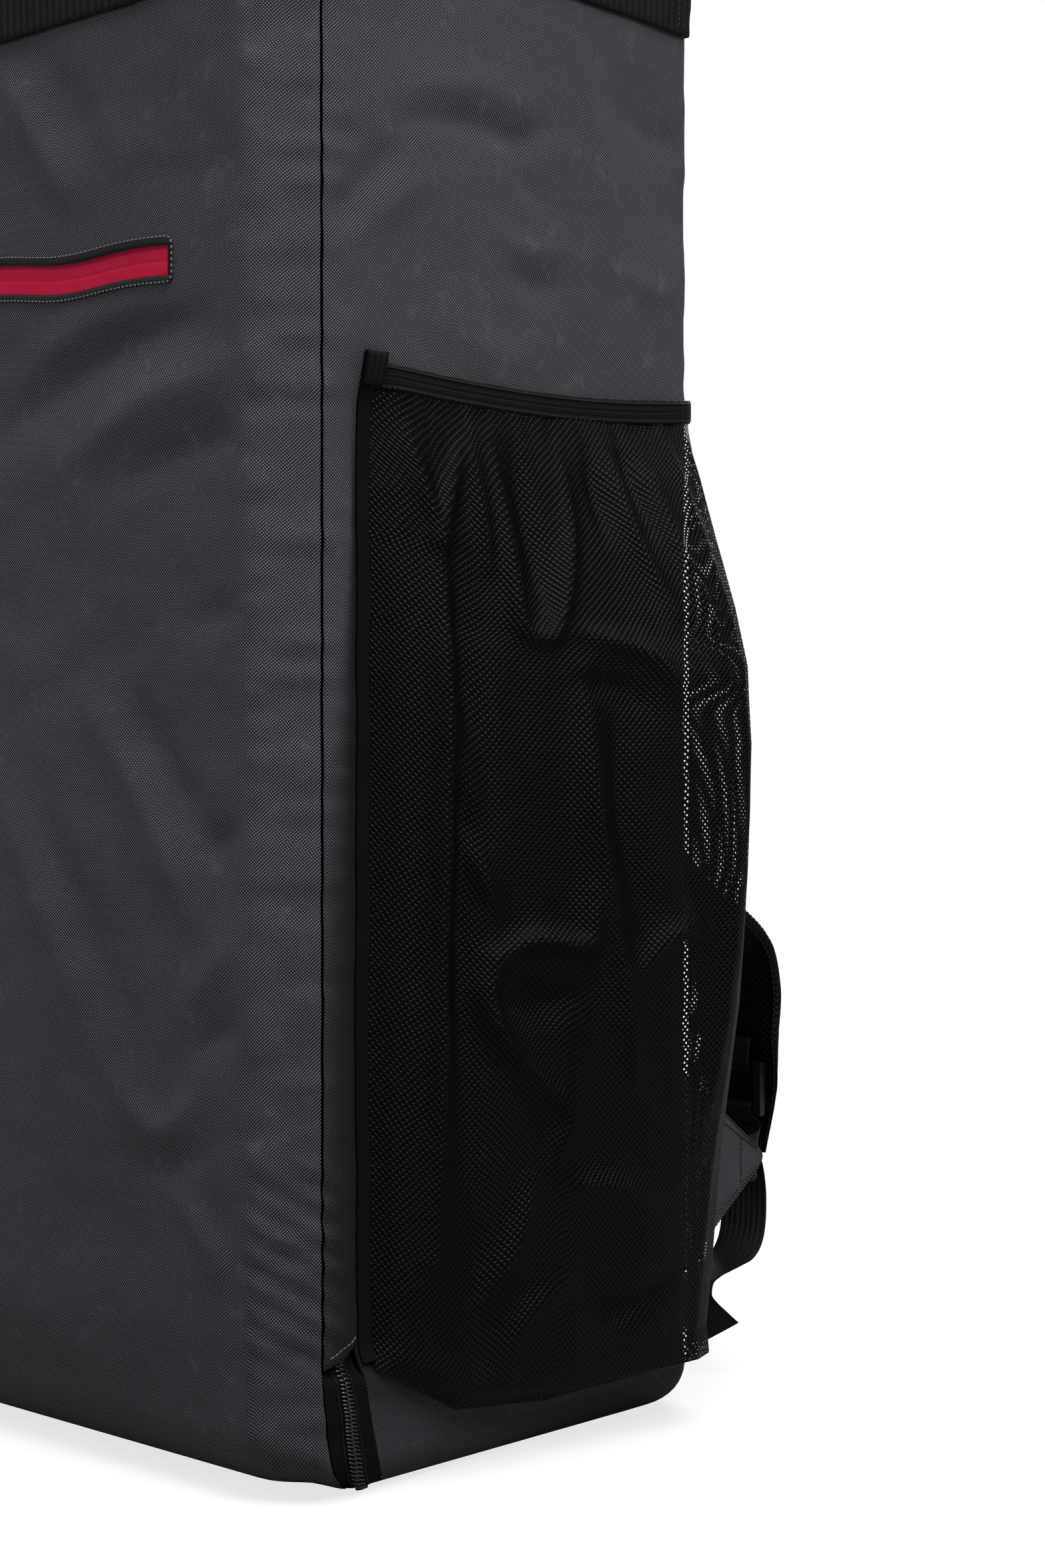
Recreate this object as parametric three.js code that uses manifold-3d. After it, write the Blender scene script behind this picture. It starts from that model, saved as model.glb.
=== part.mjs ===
// A tall, boxy carry backpack for a packed inflatable kayak: grey coated weave, a
// zip up each front corner under a cover strip, a mesh pocket on the right side,
// a webbing strap round the top and two shoulder straps on the back.
// Millimetres, +Z up. The front faces -Y, the right side +X, the back +Y.
// The origin is the middle of the flat underside.

import * as THREE from 'three';
import { mergeVertices } from 'three/addons/utils/BufferGeometryUtils.js';
import Module from 'manifold-3d';

const wasm = await Module();
wasm.setup();

// Driving sizes of the bag's body
const bagWidth = 540;
const bagHeight = 969;
const sideDepth = 300;
const clothThickness = 2;
const seamGap = 0.4;
const capGap = 0.8;
const seatGap = 0.5;

// The strip that cuts each front corner at about 45 degrees
const stripInward = 28;
const stripForward = 27;

// How far the walls curl under the bag and over its top
const undersideCurl = { front: 40, side: 22, back: 26 };
const topCurl = 38;
const topDome = 12;
const frontLift = 5;
const frontLiftReach = 24;

// How far the packed bag swells its faces, and its deepest crease
const frontSwell = 9;
const sideSwell = 7;
const backSwell = 6;
const creaseDepth = 6;
const edgeFade = 55;

// The main zip at a front corner and the cover strip over it
const zipGap = 1.2;
const zipCoilWidth = 8;
const zipCoilRise = 1.6;
const zipFrontTape = 9;
const zipSideTape = 10;
const zipThickness = 1.6;
const zipTapeGap = 0.7;
const zipUnderFlap = 0.5;
const zipUnderStrip = 3;
const flapHemFront = 72;
const flapHemSide = 83;
const flapWidth = zipFrontTape + zipCoilWidth + zipSideTape;

// The zipped pocket of the front panel
const windowLength = 356;
const windowHeight = 22;
const windowMiddle = 675;
const windowDroop = 8;
const windowCorner = 3;
const frameWidth = 5;
const frameThickness = 1.2;
const tapeBorder = 8;
const pullLength = 24;
const pullWidth = 9;
const pullThickness = 3;

// The mesh pocket on the right side
const pocketFrontInset = 28;
const pocketTop = 610;
const pocketTopDip = 8;
const pocketTopRise = 5;
const pocketDepth = 81;
const pocketFrontFoot = 69;
const pocketFoot = 28;
const meshThickness = 1.4;
const elasticHeight = 14;
const elasticThickness = 3;
const bindingWidth = 6.5;
const bindingThickness = 2.6;

// The webbing round the top of the bag
const strapWidth = 38;
const strapThickness = 1.8;
const strapFootFront = bagHeight - 151;
const strapFootSide = bagHeight - 130;
const buckleLength = 62;
const buckleHeight = 46;
const buckleThickness = 9;
const buckleFromMiddle = 95;

// The shoulder straps
const padTopWidth = 66;
const padThickness = 11;
const webbingWidth = 30;
const webbingThickness = 1.4;
const keeperReach = 16;
const lockWidth = webbingWidth + 14;
const lockHeight = 36;
const lockThickness = 5;
const lockBar = 5;
const lockWindow = webbingWidth + 3;
const tailSwing = 34;
const tabHeight = 121;
const tabReach = 106;
const tabFoot = Math.round(0.085 * bagHeight);
const tabThickness = 2.4;
const tabTipWidth = 12;
const tabTurn = 11;

// Places that follow from the sizes above. "Around" is the distance along the
// bag's outline in plan, from the middle of the front, positive to the right.
const halfWidth = bagWidth / 2;
const halfDepth = (sideDepth + stripForward) / 2;
const wallTop = bagHeight - topDome;
const creaseAt = halfWidth - stripInward;
const seamAt = creaseAt + Math.hypot(stripInward, stripForward);
const backCornerAt = seamAt + sideDepth;
const backMiddleAt = backCornerAt + halfWidth;
const flapEndAt = seamAt + flapWidth;
const pocketFrontAt = seamAt + pocketFrontInset;
const meshFrontAt = pocketFrontAt + bindingWidth + seamGap;
const curlShare = 0.08;

const cloth = { color: 0x44434a, roughness: 0.75, metalness: 0 };
const webbing = { color: 0x0b0b0c, roughness: 0.8, metalness: 0 };
const netting = { color: 0x111113, roughness: 0.85, metalness: 0 };
const plastic = { color: 0x0e0e10, roughness: 0.4, metalness: 0 };
const redTape = { color: 0xad1c3a, roughness: 0.5, metalness: 0 };

// The outline in plan, from the middle of the front to the middle of the back
const outline = [
  { around: 0, x: 0, y: -halfDepth },
  { around: creaseAt, x: creaseAt, y: -halfDepth },
  { around: seamAt, x: halfWidth, y: stripForward - halfDepth },
  { around: backCornerAt, x: halfWidth, y: halfDepth },
  { around: backMiddleAt, x: 0, y: halfDepth },
];

// How high the curl under the bag reaches up each wall
const curlHeights = [
  { around: 0, height: undersideCurl.front },
  { around: creaseAt, height: undersideCurl.front },
  { around: seamAt, height: undersideCurl.side },
  { around: backCornerAt - undersideCurl.back, height: undersideCurl.side },
  { around: backCornerAt, height: undersideCurl.back },
  { around: backMiddleAt, height: undersideCurl.back },
];

// Dents (below 0) and ridges (above 0) of each face. Across and up are shares of
// the face's width and the bag's height, lean is in degrees from upright, run and
// spread are shares of the bag's height, and depth is a share of the deepest crease.
const frontFolds = [
  { across: 0.83, up: 0.619, lean: -52, run: 0.085, spread: 0.030, depth: -0.75 },
  { across: 0.69, up: 0.564, lean: -42, run: 0.080, spread: 0.030, depth: -0.45 },
  { across: 0.92, up: 0.549, lean: -62, run: 0.050, spread: 0.026, depth: -0.60 },
  { across: 0.74, up: 0.505, lean: -60, run: 0.110, spread: 0.045, depth: 0.40 },
  { across: 0.60, up: 0.802, lean: 28, run: 0.070, spread: 0.022, depth: 0.50 },
  { across: 0.80, up: 0.391, lean: 28, run: 0.110, spread: 0.022, depth: 0.45 },
  { across: 0.62, up: 0.316, lean: 24, run: 0.120, spread: 0.024, depth: 0.40 },
  { across: 0.93, up: 0.336, lean: -70, run: 0.045, spread: 0.022, depth: -0.55 },
  { across: 0.95, up: 0.207, lean: -70, run: 0.040, spread: 0.020, depth: -0.40 },
  { across: 0.77, up: 0.198, lean: 40, run: 0.050, spread: 0.020, depth: -0.40 },
  { across: 0.40, up: 0.485, lean: 58, run: 0.120, spread: 0.040, depth: -0.55 },
  { across: 0.28, up: 0.336, lean: -30, run: 0.140, spread: 0.028, depth: 0.45 },
  { across: 0.14, up: 0.564, lean: 55, run: 0.080, spread: 0.030, depth: -0.60 },
  { across: 0.17, up: 0.188, lean: -40, run: 0.070, spread: 0.026, depth: -0.45 },
  { across: 0.30, up: 0.792, lean: -24, run: 0.070, spread: 0.024, depth: 0.40 },
];
const sideFolds = [
  { across: 0.52, up: 0.822, lean: 84, run: 0.075, spread: 0.018, depth: -0.70 },
  { across: 0.24, up: 0.782, lean: -50, run: 0.060, spread: 0.022, depth: -0.40 },
  { across: 0.62, up: 0.728, lean: -40, run: 0.055, spread: 0.022, depth: -0.55 },
  { across: 0.40, up: 0.683, lean: 30, run: 0.060, spread: 0.028, depth: 0.45 },
  { across: 0.84, up: 0.851, lean: 60, run: 0.035, spread: 0.016, depth: -0.45 },
  { across: 0.83, up: 0.663, lean: 70, run: 0.040, spread: 0.020, depth: 0.40 },
  { across: 0.45, up: 0.406, lean: 25, run: 0.140, spread: 0.035, depth: -0.50 },
  { across: 0.60, up: 0.188, lean: -35, run: 0.110, spread: 0.030, depth: 0.45 },
];
const backFolds = [
  { across: 0.30, up: 0.802, lean: 35, run: 0.080, spread: 0.028, depth: -0.50 },
  { across: 0.72, up: 0.777, lean: -40, run: 0.075, spread: 0.028, depth: -0.50 },
  { across: 0.50, up: 0.524, lean: 88, run: 0.100, spread: 0.030, depth: -0.45 },
  { across: 0.22, up: 0.307, lean: 30, run: 0.120, spread: 0.030, depth: 0.45 },
  { across: 0.78, up: 0.297, lean: -28, run: 0.120, spread: 0.030, depth: 0.45 },
  { across: 0.50, up: 0.178, lean: 80, run: 0.080, spread: 0.026, depth: -0.40 },
];

// How the mesh pocket stands off the side, by share of its height and of its width
const pocketBulgeUp = [
  { up: 0, out: 0.03 },
  { up: 0.022, out: 0.44 },
  { up: 0.05, out: 0.39 },
  { up: 0.11, out: 0.45 },
  { up: 0.26, out: 0.58 },
  { up: 0.39, out: 0.75 },
  { up: 0.53, out: 0.84 },
  { up: 0.66, out: 0.89 },
  { up: 0.74, out: 0.85 },
  { up: 0.8, out: 0.71 },
  { up: 0.87, out: 0.5 },
  { up: 0.94, out: 0.3 },
  { up: 1, out: 0.08 },
];
const pocketBulgeAcross = [
  { across: 0, out: 0 },
  { across: 0.05, out: 0.1 },
  { across: 0.14, out: 0.26 },
  { across: 0.3, out: 0.44 },
  { across: 0.5, out: 0.64 },
  { across: 0.66, out: 0.83 },
  { across: 0.79, out: 0.96 },
  { across: 0.87, out: 1 },
  { across: 0.94, out: 0.84 },
  { across: 0.98, out: 0.45 },
  { across: 1, out: 0.01 },
];

// Folds of the mesh, with the same columns as the dents of the faces
const pocketFolds = [
  { across: 0.24, up: 0.36, lean: 2, run: 0.300, spread: 0.014, depth: 1.00 },
  { across: 0.40, up: 0.36, lean: -8, run: 0.200, spread: 0.016, depth: -0.80 },
  { across: 0.56, up: 0.46, lean: 4, run: 0.070, spread: 0.018, depth: 0.90 },
  { across: 0.74, up: 0.44, lean: 60, run: 0.050, spread: 0.014, depth: 0.80 },
  { across: 0.62, up: 0.265, lean: 84, run: 0.060, spread: 0.012, depth: 1.10 },
  { across: 0.52, up: 0.215, lean: 20, run: 0.050, spread: 0.014, depth: 0.90 },
  { across: 0.70, up: 0.230, lean: 75, run: 0.060, spread: 0.016, depth: -1.00 },
  { across: 0.46, up: 0.120, lean: -20, run: 0.070, spread: 0.014, depth: 0.70 },
];

// The foot line of the mesh, from its front edge to the back corner
const pocketFootLine = [
  { across: 0, drop: 0 },
  { across: 0.07, drop: 0.28 },
  { across: 0.22, drop: 0.8 },
  { across: 0.5, drop: 1 },
  { across: 1, drop: 1 },
];

// The right shoulder pad from its sewn top to its lower end: how far it stands
// off the back (share of the side's depth), how far it lies from the middle
// (share of half the bag's width), and its height (share of the bag's height)
const padRoute = [
  { off: 0.030, across: 0.315, up: 0.693, width: 1.00, thick: 0.45 },
  { off: 0.046, across: 0.325, up: 0.658, width: 1.00, thick: 1.00 },
  { off: 0.062, across: 0.385, up: 0.599, width: 1.00, thick: 1.00 },
  { off: 0.072, across: 0.500, up: 0.520, width: 1.00, thick: 1.00 },
  { off: 0.070, across: 0.635, up: 0.445, width: 1.00, thick: 1.00 },
  { off: 0.066, across: 0.745, up: 0.386, width: 0.98, thick: 1.00 },
  { off: 0.092, across: 0.785, up: 0.352, width: 0.96, thick: 1.00 },
  { off: 0.206, across: 0.789, up: 0.321, width: 0.95, thick: 1.00 },
  { off: 0.314, across: 0.789, up: 0.303, width: 0.94, thick: 1.00 },
  { off: 0.387, across: 0.789, up: 0.282, width: 0.93, thick: 1.00 },
  { off: 0.416, across: 0.789, up: 0.252, width: 0.91, thick: 1.00 },
  { off: 0.417, across: 0.789, up: 0.222, width: 0.86, thick: 0.95 },
  { off: 0.408, across: 0.789, up: 0.204, width: 0.66, thick: 0.80 },
];
const padEnd = padRoute[padRoute.length - 1];
const padSection = 10;

// The free tail of the right strap's webbing below its lock, in the pad's columns
// and with the turn of its width from straight across
const tailRoute = [
  { off: 0.420, across: 0.789, up: 0.152, turn: 0 },
  { off: 0.428, across: 0.794, up: 0.126, turn: 0 },
  { off: 0.424, across: 0.800, up: 0.101, turn: 1 },
  { off: 0.405, across: 0.806, up: 0.082, turn: 3 },
  { off: 0.360, across: 0.812, up: 0.069, turn: 5 },
  { off: 0.295, across: 0.819, up: 0.063, turn: 8 },
  { off: 0.235, across: 0.826, up: 0.056, turn: 12 },
  { off: 0.222, across: 0.831, up: 0.044, turn: 18 },
  { off: 0.258, across: 0.835, up: 0.033, turn: 24 },
  { off: 0.296, across: 0.836, up: 0.024, turn: 28 },
];

// Small helpers
const smooth = (share) => {
  const held = Math.min(1, Math.max(0, share));
  return held * held * (3 - 2 * held);
};
const radians = (degrees) => (degrees * Math.PI) / 180;
const spread = (from, to, count) =>
  Array.from({ length: count + 1 }, (_, step) => from + ((to - from) * step) / count);

// Reads a table at one value of its first column, on straight lines between rows
function readTable(rows, column, place, result) {
  const last = rows[rows.length - 1];
  if (place <= rows[0][column]) return rows[0][result];
  if (place >= last[column]) return last[result];
  const next = rows.findIndex((row) => row[column] > place);
  const low = rows[next - 1];
  const high = rows[next];
  const share = (place - low[column]) / (high[column] - low[column]);
  return low[result] + (high[result] - low[result]) * share;
}

// The outline's point and outward direction in plan
function planPoint(around) {
  const side = Math.sign(around) || 1;
  const place = Math.abs(around);
  const x = side * readTable(outline, 'around', place, 'x');
  const y = readTable(outline, 'around', place, 'y');
  return { x, y };
}

function planNormal(around) {
  const side = Math.sign(around) || 1;
  const place = Math.abs(around);
  if (place <= creaseAt) return { x: 0, y: -1 };
  if (place < seamAt) {
    const length = Math.hypot(stripInward, stripForward);
    return { x: (side * stripForward) / length, y: -stripInward / length };
  }
  if (place <= backCornerAt) return { x: side, y: 0 };
  return { x: 0, y: 1 };
}

// The sum of a face's folds at one place, in millimetres
function foldHeight(folds, across, faceWidth, z, deepest) {
  let total = 0;
  for (const fold of folds) {
    const sideways = across - fold.across * faceWidth;
    const upward = z - fold.up * bagHeight;
    const lean = radians(fold.lean);
    const along = upward * Math.cos(lean) - sideways * Math.sin(lean);
    const aside = upward * Math.sin(lean) + sideways * Math.cos(lean);
    const run = fold.run * bagHeight;
    const reach = fold.spread * bagHeight;
    total += fold.depth * deepest * Math.exp(-((along / run) ** 2) - (aside / reach) ** 2);
  }
  return total;
}

// How far the packed cloth stands out of the plain outline
function relief(around, z) {
  const place = Math.abs(around);
  const side = Math.sign(around) || 1;
  const strapHold = 1 - Math.exp(-(((z - strapHeightAt(around)) / strapWidth) ** 2));
  let swell = 0;
  let folds = 0;
  let across = 0;
  if (place < creaseAt) {
    across = (around + creaseAt) / (2 * creaseAt);
    swell = frontSwell;
    const windowHold = 1 - Math.exp(-(((z - windowMiddle) / (2.2 * windowHeight)) ** 2));
    folds = foldHeight(frontFolds, around + creaseAt, 2 * creaseAt, z, creaseDepth) * windowHold;
  } else if (place > seamAt && place < backCornerAt) {
    const fromSeam = place - seamAt;
    across = fromSeam / sideDepth;
    swell = sideSwell;
    folds = foldHeight(sideFolds, fromSeam, sideDepth, z, creaseDepth);
  } else if (place > backCornerAt) {
    const fromCorner = side * (backMiddleAt - place) + halfWidth;
    across = fromCorner / bagWidth;
    swell = backSwell;
    folds = foldHeight(backFolds, fromCorner, bagWidth, z, creaseDepth);
  }
  const edge = smooth((across * (1 - across)) / 0.09);
  const ends = smooth(z / edgeFade - 0.6) * smooth((wallTop - z) / edgeFade - 0.6);
  return ends * (swell * 4 * across * (1 - across) + folds * edge * strapHold);
}

// The lower edge of the webbing round the top, lower on the front than on the sides
function strapFootAt(around) {
  const share = (Math.abs(around) - creaseAt * 0.6) / (seamAt - creaseAt * 0.6);
  return strapFootFront + (strapFootSide - strapFootFront) * smooth(share);
}

function strapHeightAt(around) {
  return strapFootAt(around) + strapWidth / 2;
}

// The walls' tuck and height at a level from 0, under the bag, to 1, over its top
function wallProfile(around, level) {
  const curl = readTable(curlHeights, 'around', Math.abs(around), 'height');
  if (level < curlShare) {
    const turn = (level / curlShare) * (Math.PI / 2);
    return { under: 1 - Math.sin(turn), over: 0, z: curl * (1 - Math.cos(turn)) };
  }
  if (level > 1 - curlShare) {
    const turn = ((level - 1 + curlShare) / curlShare) * (Math.PI / 2);
    const z = wallTop - topCurl * (1 - Math.sin(turn));
    return { under: 0, over: 1 - Math.cos(turn), z };
  }
  const share = (level - curlShare) / (1 - 2 * curlShare);
  return { under: 0, over: 0, z: curl + (wallTop - topCurl - curl) * share };
}

function levelAt(around, z) {
  const curl = readTable(curlHeights, 'around', Math.abs(around), 'height');
  if (z < curl) {
    return (curlShare * Math.acos(1 - z / curl)) / (Math.PI / 2);
  }
  return curlShare + ((z - curl) / (wallTop - topCurl - curl)) * (1 - 2 * curlShare);
}

// How much the underside rises towards the front
function liftAt(y) {
  const start = halfDepth - undersideCurl.front - frontLiftReach;
  return frontLift * smooth((-y - start) / frontLiftReach);
}

// The bag's outer surface
function skin(around, level) {
  const plan = planPoint(around);
  const out = planNormal(around);
  const wall = wallProfile(around, level);
  const underDepth = plan.y < 0 ? undersideCurl.front : undersideCurl.back;
  const tuckX = wall.under * undersideCurl.side + wall.over * topCurl;
  const tuckY = wall.under * underDepth + wall.over * topCurl;
  const push = relief(around, wall.z);
  const x = plan.x * (1 - tuckX / halfWidth) + out.x * push;
  const y = plan.y * (1 - tuckY / halfDepth) + out.y * push;
  const lift = liftAt(y) * smooth(1 - wall.z / (2 * undersideCurl.front));
  return new THREE.Vector3(x, y, wall.z + lift);
}

// A point at a distance outside the bag's surface
function offSkin(around, level, distance) {
  const reach = 5;
  const rise = 0.002;
  const low = Math.max(0, level - rise);
  const high = Math.min(1, level + rise);
  const along = skin(around + reach, level).sub(skin(around - reach, level));
  const upward = skin(around, high).sub(skin(around, low));
  const normal = along.cross(upward).normalize();
  return skin(around, level).addScaledVector(normal, distance);
}

// A closed solid from an outer and an inner grid of points
function slab(outer, inner) {
  const columns = outer.length;
  const rows = outer[0].length;
  const points = [...outer.flat(), ...inner.flat()];
  const innerStart = columns * rows;
  const index = [];
  const quad = (a, b, c, d) => index.push(a, b, c, a, c, d);
  const at = (column, row, start) => start + column * rows + row;
  for (let column = 0; column < columns - 1; column += 1) {
    for (let row = 0; row < rows - 1; row += 1) {
      quad(
        at(column, row, 0),
        at(column + 1, row, 0),
        at(column + 1, row + 1, 0),
        at(column, row + 1, 0),
      );
      quad(
        at(column, row, innerStart),
        at(column, row + 1, innerStart),
        at(column + 1, row + 1, innerStart),
        at(column + 1, row, innerStart),
      );
    }
  }
  const rim = [];
  for (let column = 0; column < columns - 1; column += 1) rim.push([column, 0]);
  for (let row = 0; row < rows - 1; row += 1) rim.push([columns - 1, row]);
  for (let column = columns - 1; column > 0; column -= 1) rim.push([column, rows - 1]);
  for (let row = rows - 1; row > 0; row -= 1) rim.push([0, row]);
  rim.forEach(([column, row], step) => {
    const [nextColumn, nextRow] = rim[(step + 1) % rim.length];
    quad(
      at(nextColumn, nextRow, 0),
      at(column, row, 0),
      at(column, row, innerStart),
      at(nextColumn, nextRow, innerStart),
    );
  });
  return closedGeometry(points, index);
}

// A closed solid through sections with the same number of points
function loft(sections) {
  const count = sections[0].length;
  const points = sections.flat();
  const index = [];
  for (let step = 0; step < sections.length - 1; step += 1) {
    for (let corner = 0; corner < count; corner += 1) {
      const next = (corner + 1) % count;
      const a = step * count + corner;
      const b = step * count + next;
      index.push(a, b, b + count, a, b + count, a + count);
    }
  }
  const last = (sections.length - 1) * count;
  for (let corner = 1; corner < count - 1; corner += 1) {
    index.push(0, corner + 1, corner);
    index.push(last, last + corner, last + corner + 1);
  }
  return closedGeometry(points, index);
}

// Indexed geometry with its faces turned outwards
function closedGeometry(points, index) {
  let volume = 0;
  for (let face = 0; face < index.length; face += 3) {
    const [a, b, c] = [index[face], index[face + 1], index[face + 2]].map((i) => points[i]);
    volume += a.dot(b.clone().cross(c));
  }
  const turned = volume < 0 ? [...index].reverse() : index;
  const geometry = new THREE.BufferGeometry();
  const flat = points.flatMap((point) => [point.x, point.y, point.z]);
  geometry.setAttribute('position', new THREE.Float32BufferAttribute(flat, 3));
  geometry.setIndex(turned);
  return geometry;
}

function solidOf(geometry) {
  const bare = geometry.clone();
  bare.deleteAttribute('normal');
  bare.deleteAttribute('uv');
  const merged = mergeVertices(bare, 1e-3);
  const vertProperties = new Float32Array(merged.attributes.position.array);
  const triVerts = new Uint32Array(merged.index.array);
  return new wasm.Manifold(new wasm.Mesh({ numProp: 3, vertProperties, triVerts }));
}

function geometryOf(solid) {
  const mesh = solid.getMesh();
  const geometry = new THREE.BufferGeometry();
  geometry.setAttribute('position', new THREE.Float32BufferAttribute(mesh.vertProperties, 3));
  geometry.setIndex(Array.from(mesh.triVerts));
  return geometry;
}

// Cloth over part of the bag's surface: for each place around, a list of levels
function clothPanel(places, levelsOf, outside = 0, inside = -clothThickness) {
  const grid = (distance) =>
    places.map((around) => levelsOf(around).map((level) => offSkin(around, level, distance)));
  return slab(grid(outside), grid(inside));
}

const undersideLevels = spread(0, curlShare, 3);
const overTopLevels = spread(1 - curlShare, 1, 3);
const wallLevels = (rows) => [
  ...undersideLevels,
  ...spread(curlShare, 1 - curlShare, rows).slice(1, -1),
  ...overTopLevels,
];

const facePlaces = spread(-creaseAt, creaseAt, 12);

// The window of the front pocket's zip, and the cutter that opens it
function windowLineAt(x) {
  return windowMiddle - windowDroop * (x / (windowLength / 2)) ** 2;
}

function windowCutter(grow) {
  const reach = windowLength / 2 + grow;
  const halfHeight = windowHeight / 2 + grow;
  const corner = windowCorner + grow;
  const end = windowLineAt(windowLength / 2);
  const bend = 2 * windowMiddle - end;
  const shape = new THREE.Shape();
  shape.moveTo(-reach + corner, end - halfHeight);
  shape.quadraticCurveTo(0, bend - halfHeight, reach - corner, end - halfHeight);
  shape.quadraticCurveTo(reach, end - halfHeight, reach, end - halfHeight + corner);
  shape.lineTo(reach, end + halfHeight - corner);
  shape.quadraticCurveTo(reach, end + halfHeight, reach - corner, end + halfHeight);
  shape.quadraticCurveTo(0, bend + halfHeight, -reach + corner, end + halfHeight);
  shape.quadraticCurveTo(-reach, end + halfHeight, -reach, end + halfHeight - corner);
  shape.lineTo(-reach, end - halfHeight + corner);
  shape.quadraticCurveTo(-reach, end - halfHeight, -reach + corner, end - halfHeight);
  const depth = 4 * frontSwell + 40;
  const geometry = new THREE.ExtrudeGeometry(shape, {
    depth,
    bevelEnabled: false,
    curveSegments: 6,
  });
  geometry.rotateX(Math.PI / 2);
  geometry.translate(0, -halfDepth + depth / 2, 0);
  return geometry;
}

// A band that lies over the window, between two distances from the front panel.
// It bends at the same places as the panel, so that the two stay parallel.
function windowBand(border, outside, inside) {
  const reach = windowLength / 2 + border;
  const halfHeight = windowHeight / 2 + border;
  const rows = (around) =>
    [-1, 0, 1].map((side) => levelAt(around, windowLineAt(around) + side * halfHeight));
  const inner = facePlaces.filter((place) => Math.abs(place) < reach);
  return clothPanel([-reach, ...inner, reach], rows, outside, inside);
}

// The front panel: the face and both corner strips in one piece of cloth
function frontPanel() {
  const strips = [creaseAt + (seamAt - creaseAt) * 0.5, seamAt - zipGap / 2];
  const left = strips.map((place) => -place).reverse();
  const places = [...left, ...facePlaces, ...strips];
  const windowEdge = windowHeight / 2 + tapeBorder + windowDroop;
  const edgesAt = (around) =>
    [-1, 1].map((way) => levelAt(around, windowMiddle + way * windowEdge));
  const apart = (level) => edgesAt(0).every((edge) => Math.abs(edge - level) > 0.012);
  const kept = wallLevels(18).filter(apart);
  const rows = (around) => [...kept, ...edgesAt(around)].sort((a, b) => a - b);
  const panel = clothPanel(places, rows);
  return geometryOf(solidOf(panel).subtract(solidOf(windowCutter(0))));
}

function sidePanel() {
  const places = spread(flapEndAt + seamGap / 2, backCornerAt - seamGap / 2, 9);
  return clothPanel(places, () => wallLevels(17));
}

function backPanel() {
  const reach = halfWidth - seamGap / 2;
  const places = spread(backMiddleAt - reach, backMiddleAt, 5);
  const grid = (distance) => {
    const right = places.map((around) =>
      wallLevels(14).map((level) => offSkin(around, level, distance)),
    );
    const left = places.slice(0, -1).map((around) =>
      wallLevels(14).map((level) => offSkin(-around, level, distance)),
    );
    return [...right, ...left.reverse()];
  };
  return slab(grid(0), grid(-clothThickness));
}

// The flat ends of the bag. The limit in X follows the outline's cut corners.
function capGrid(curls, yFrom, yTo, rows, heightAt) {
  const innerX = halfWidth - curls.side - capGap;
  const cutX = creaseAt * (1 - curls.side / halfWidth) - capGap;
  const frontY = -halfDepth + curls.front + capGap;
  const seamY = (stripForward - halfDepth) * (1 - curls.front / halfDepth);
  const limit = (y) => {
    const share = Math.min(1, (y - frontY) / (seamY - frontY));
    return cutX + (innerX - cutX) * share;
  };
  const lines = spread(yFrom, yTo, rows);
  if (seamY > yFrom && seamY < yTo) lines.push(seamY);
  lines.sort((a, b) => a - b);
  return spread(-1, 1, 10).map((share) =>
    lines.map((y) => {
      const x = share * limit(y);
      return new THREE.Vector3(x, y, heightAt(x, y));
    }),
  );
}

const raise = (grid, distance) =>
  grid.map((column) => column.map((point) => point.clone().setZ(point.z + distance)));

function bottomPanel() {
  const from = -halfDepth + undersideCurl.front + capGap;
  const to = halfDepth - undersideCurl.back - capGap;
  const outer = capGrid(undersideCurl, from, to, 8, (x, y) => liftAt(y));
  return slab(outer, raise(outer, clothThickness));
}

const topCurls = { front: topCurl, side: topCurl, back: topCurl };

function domeAt(x, y) {
  const acrossX = x / (halfWidth - topCurl);
  const acrossY = y / (halfDepth - topCurl);
  return wallTop + topDome * Math.max(0, 1 - acrossX ** 2) * Math.max(0, 1 - acrossY ** 2);
}

const topFrontY = -halfDepth + topCurl;

function topPanel() {
  const from = topFrontY + flapWidth + seamGap;
  const to = halfDepth - topCurl - capGap;
  const outer = capGrid(topCurls, from, to, 6, domeAt);
  return slab(outer, raise(outer, -clothThickness));
}

function topFlap() {
  const outer = capGrid(topCurls, topFrontY + zipGap, topFrontY + flapWidth, 3, domeAt);
  return slab(outer, raise(outer, -clothThickness));
}

function topZipTape() {
  const from = topFrontY + zipGap - zipUnderStrip;
  const to = topFrontY + flapWidth - zipUnderStrip;
  const outer = capGrid(topCurls, from, to, 3, domeAt);
  const lowered = raise(outer, -clothThickness - zipUnderFlap);
  return slab(lowered, raise(lowered, -zipThickness));
}

// The cover strip over the main zip, whose hem slants up towards the side
function flapHemAt(around) {
  const share = (Math.abs(around) - seamAt) / flapWidth;
  return flapHemFront + (flapHemSide - flapHemFront) * share;
}

function zipFlap() {
  const places = spread(seamAt + zipGap / 2, flapEndAt - seamGap / 2, 2);
  const levels = (around) => [
    ...spread(levelAt(around, flapHemAt(around)), 1 - curlShare, 14),
    ...overTopLevels.slice(1),
  ];
  return clothPanel(places, levels);
}

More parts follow.
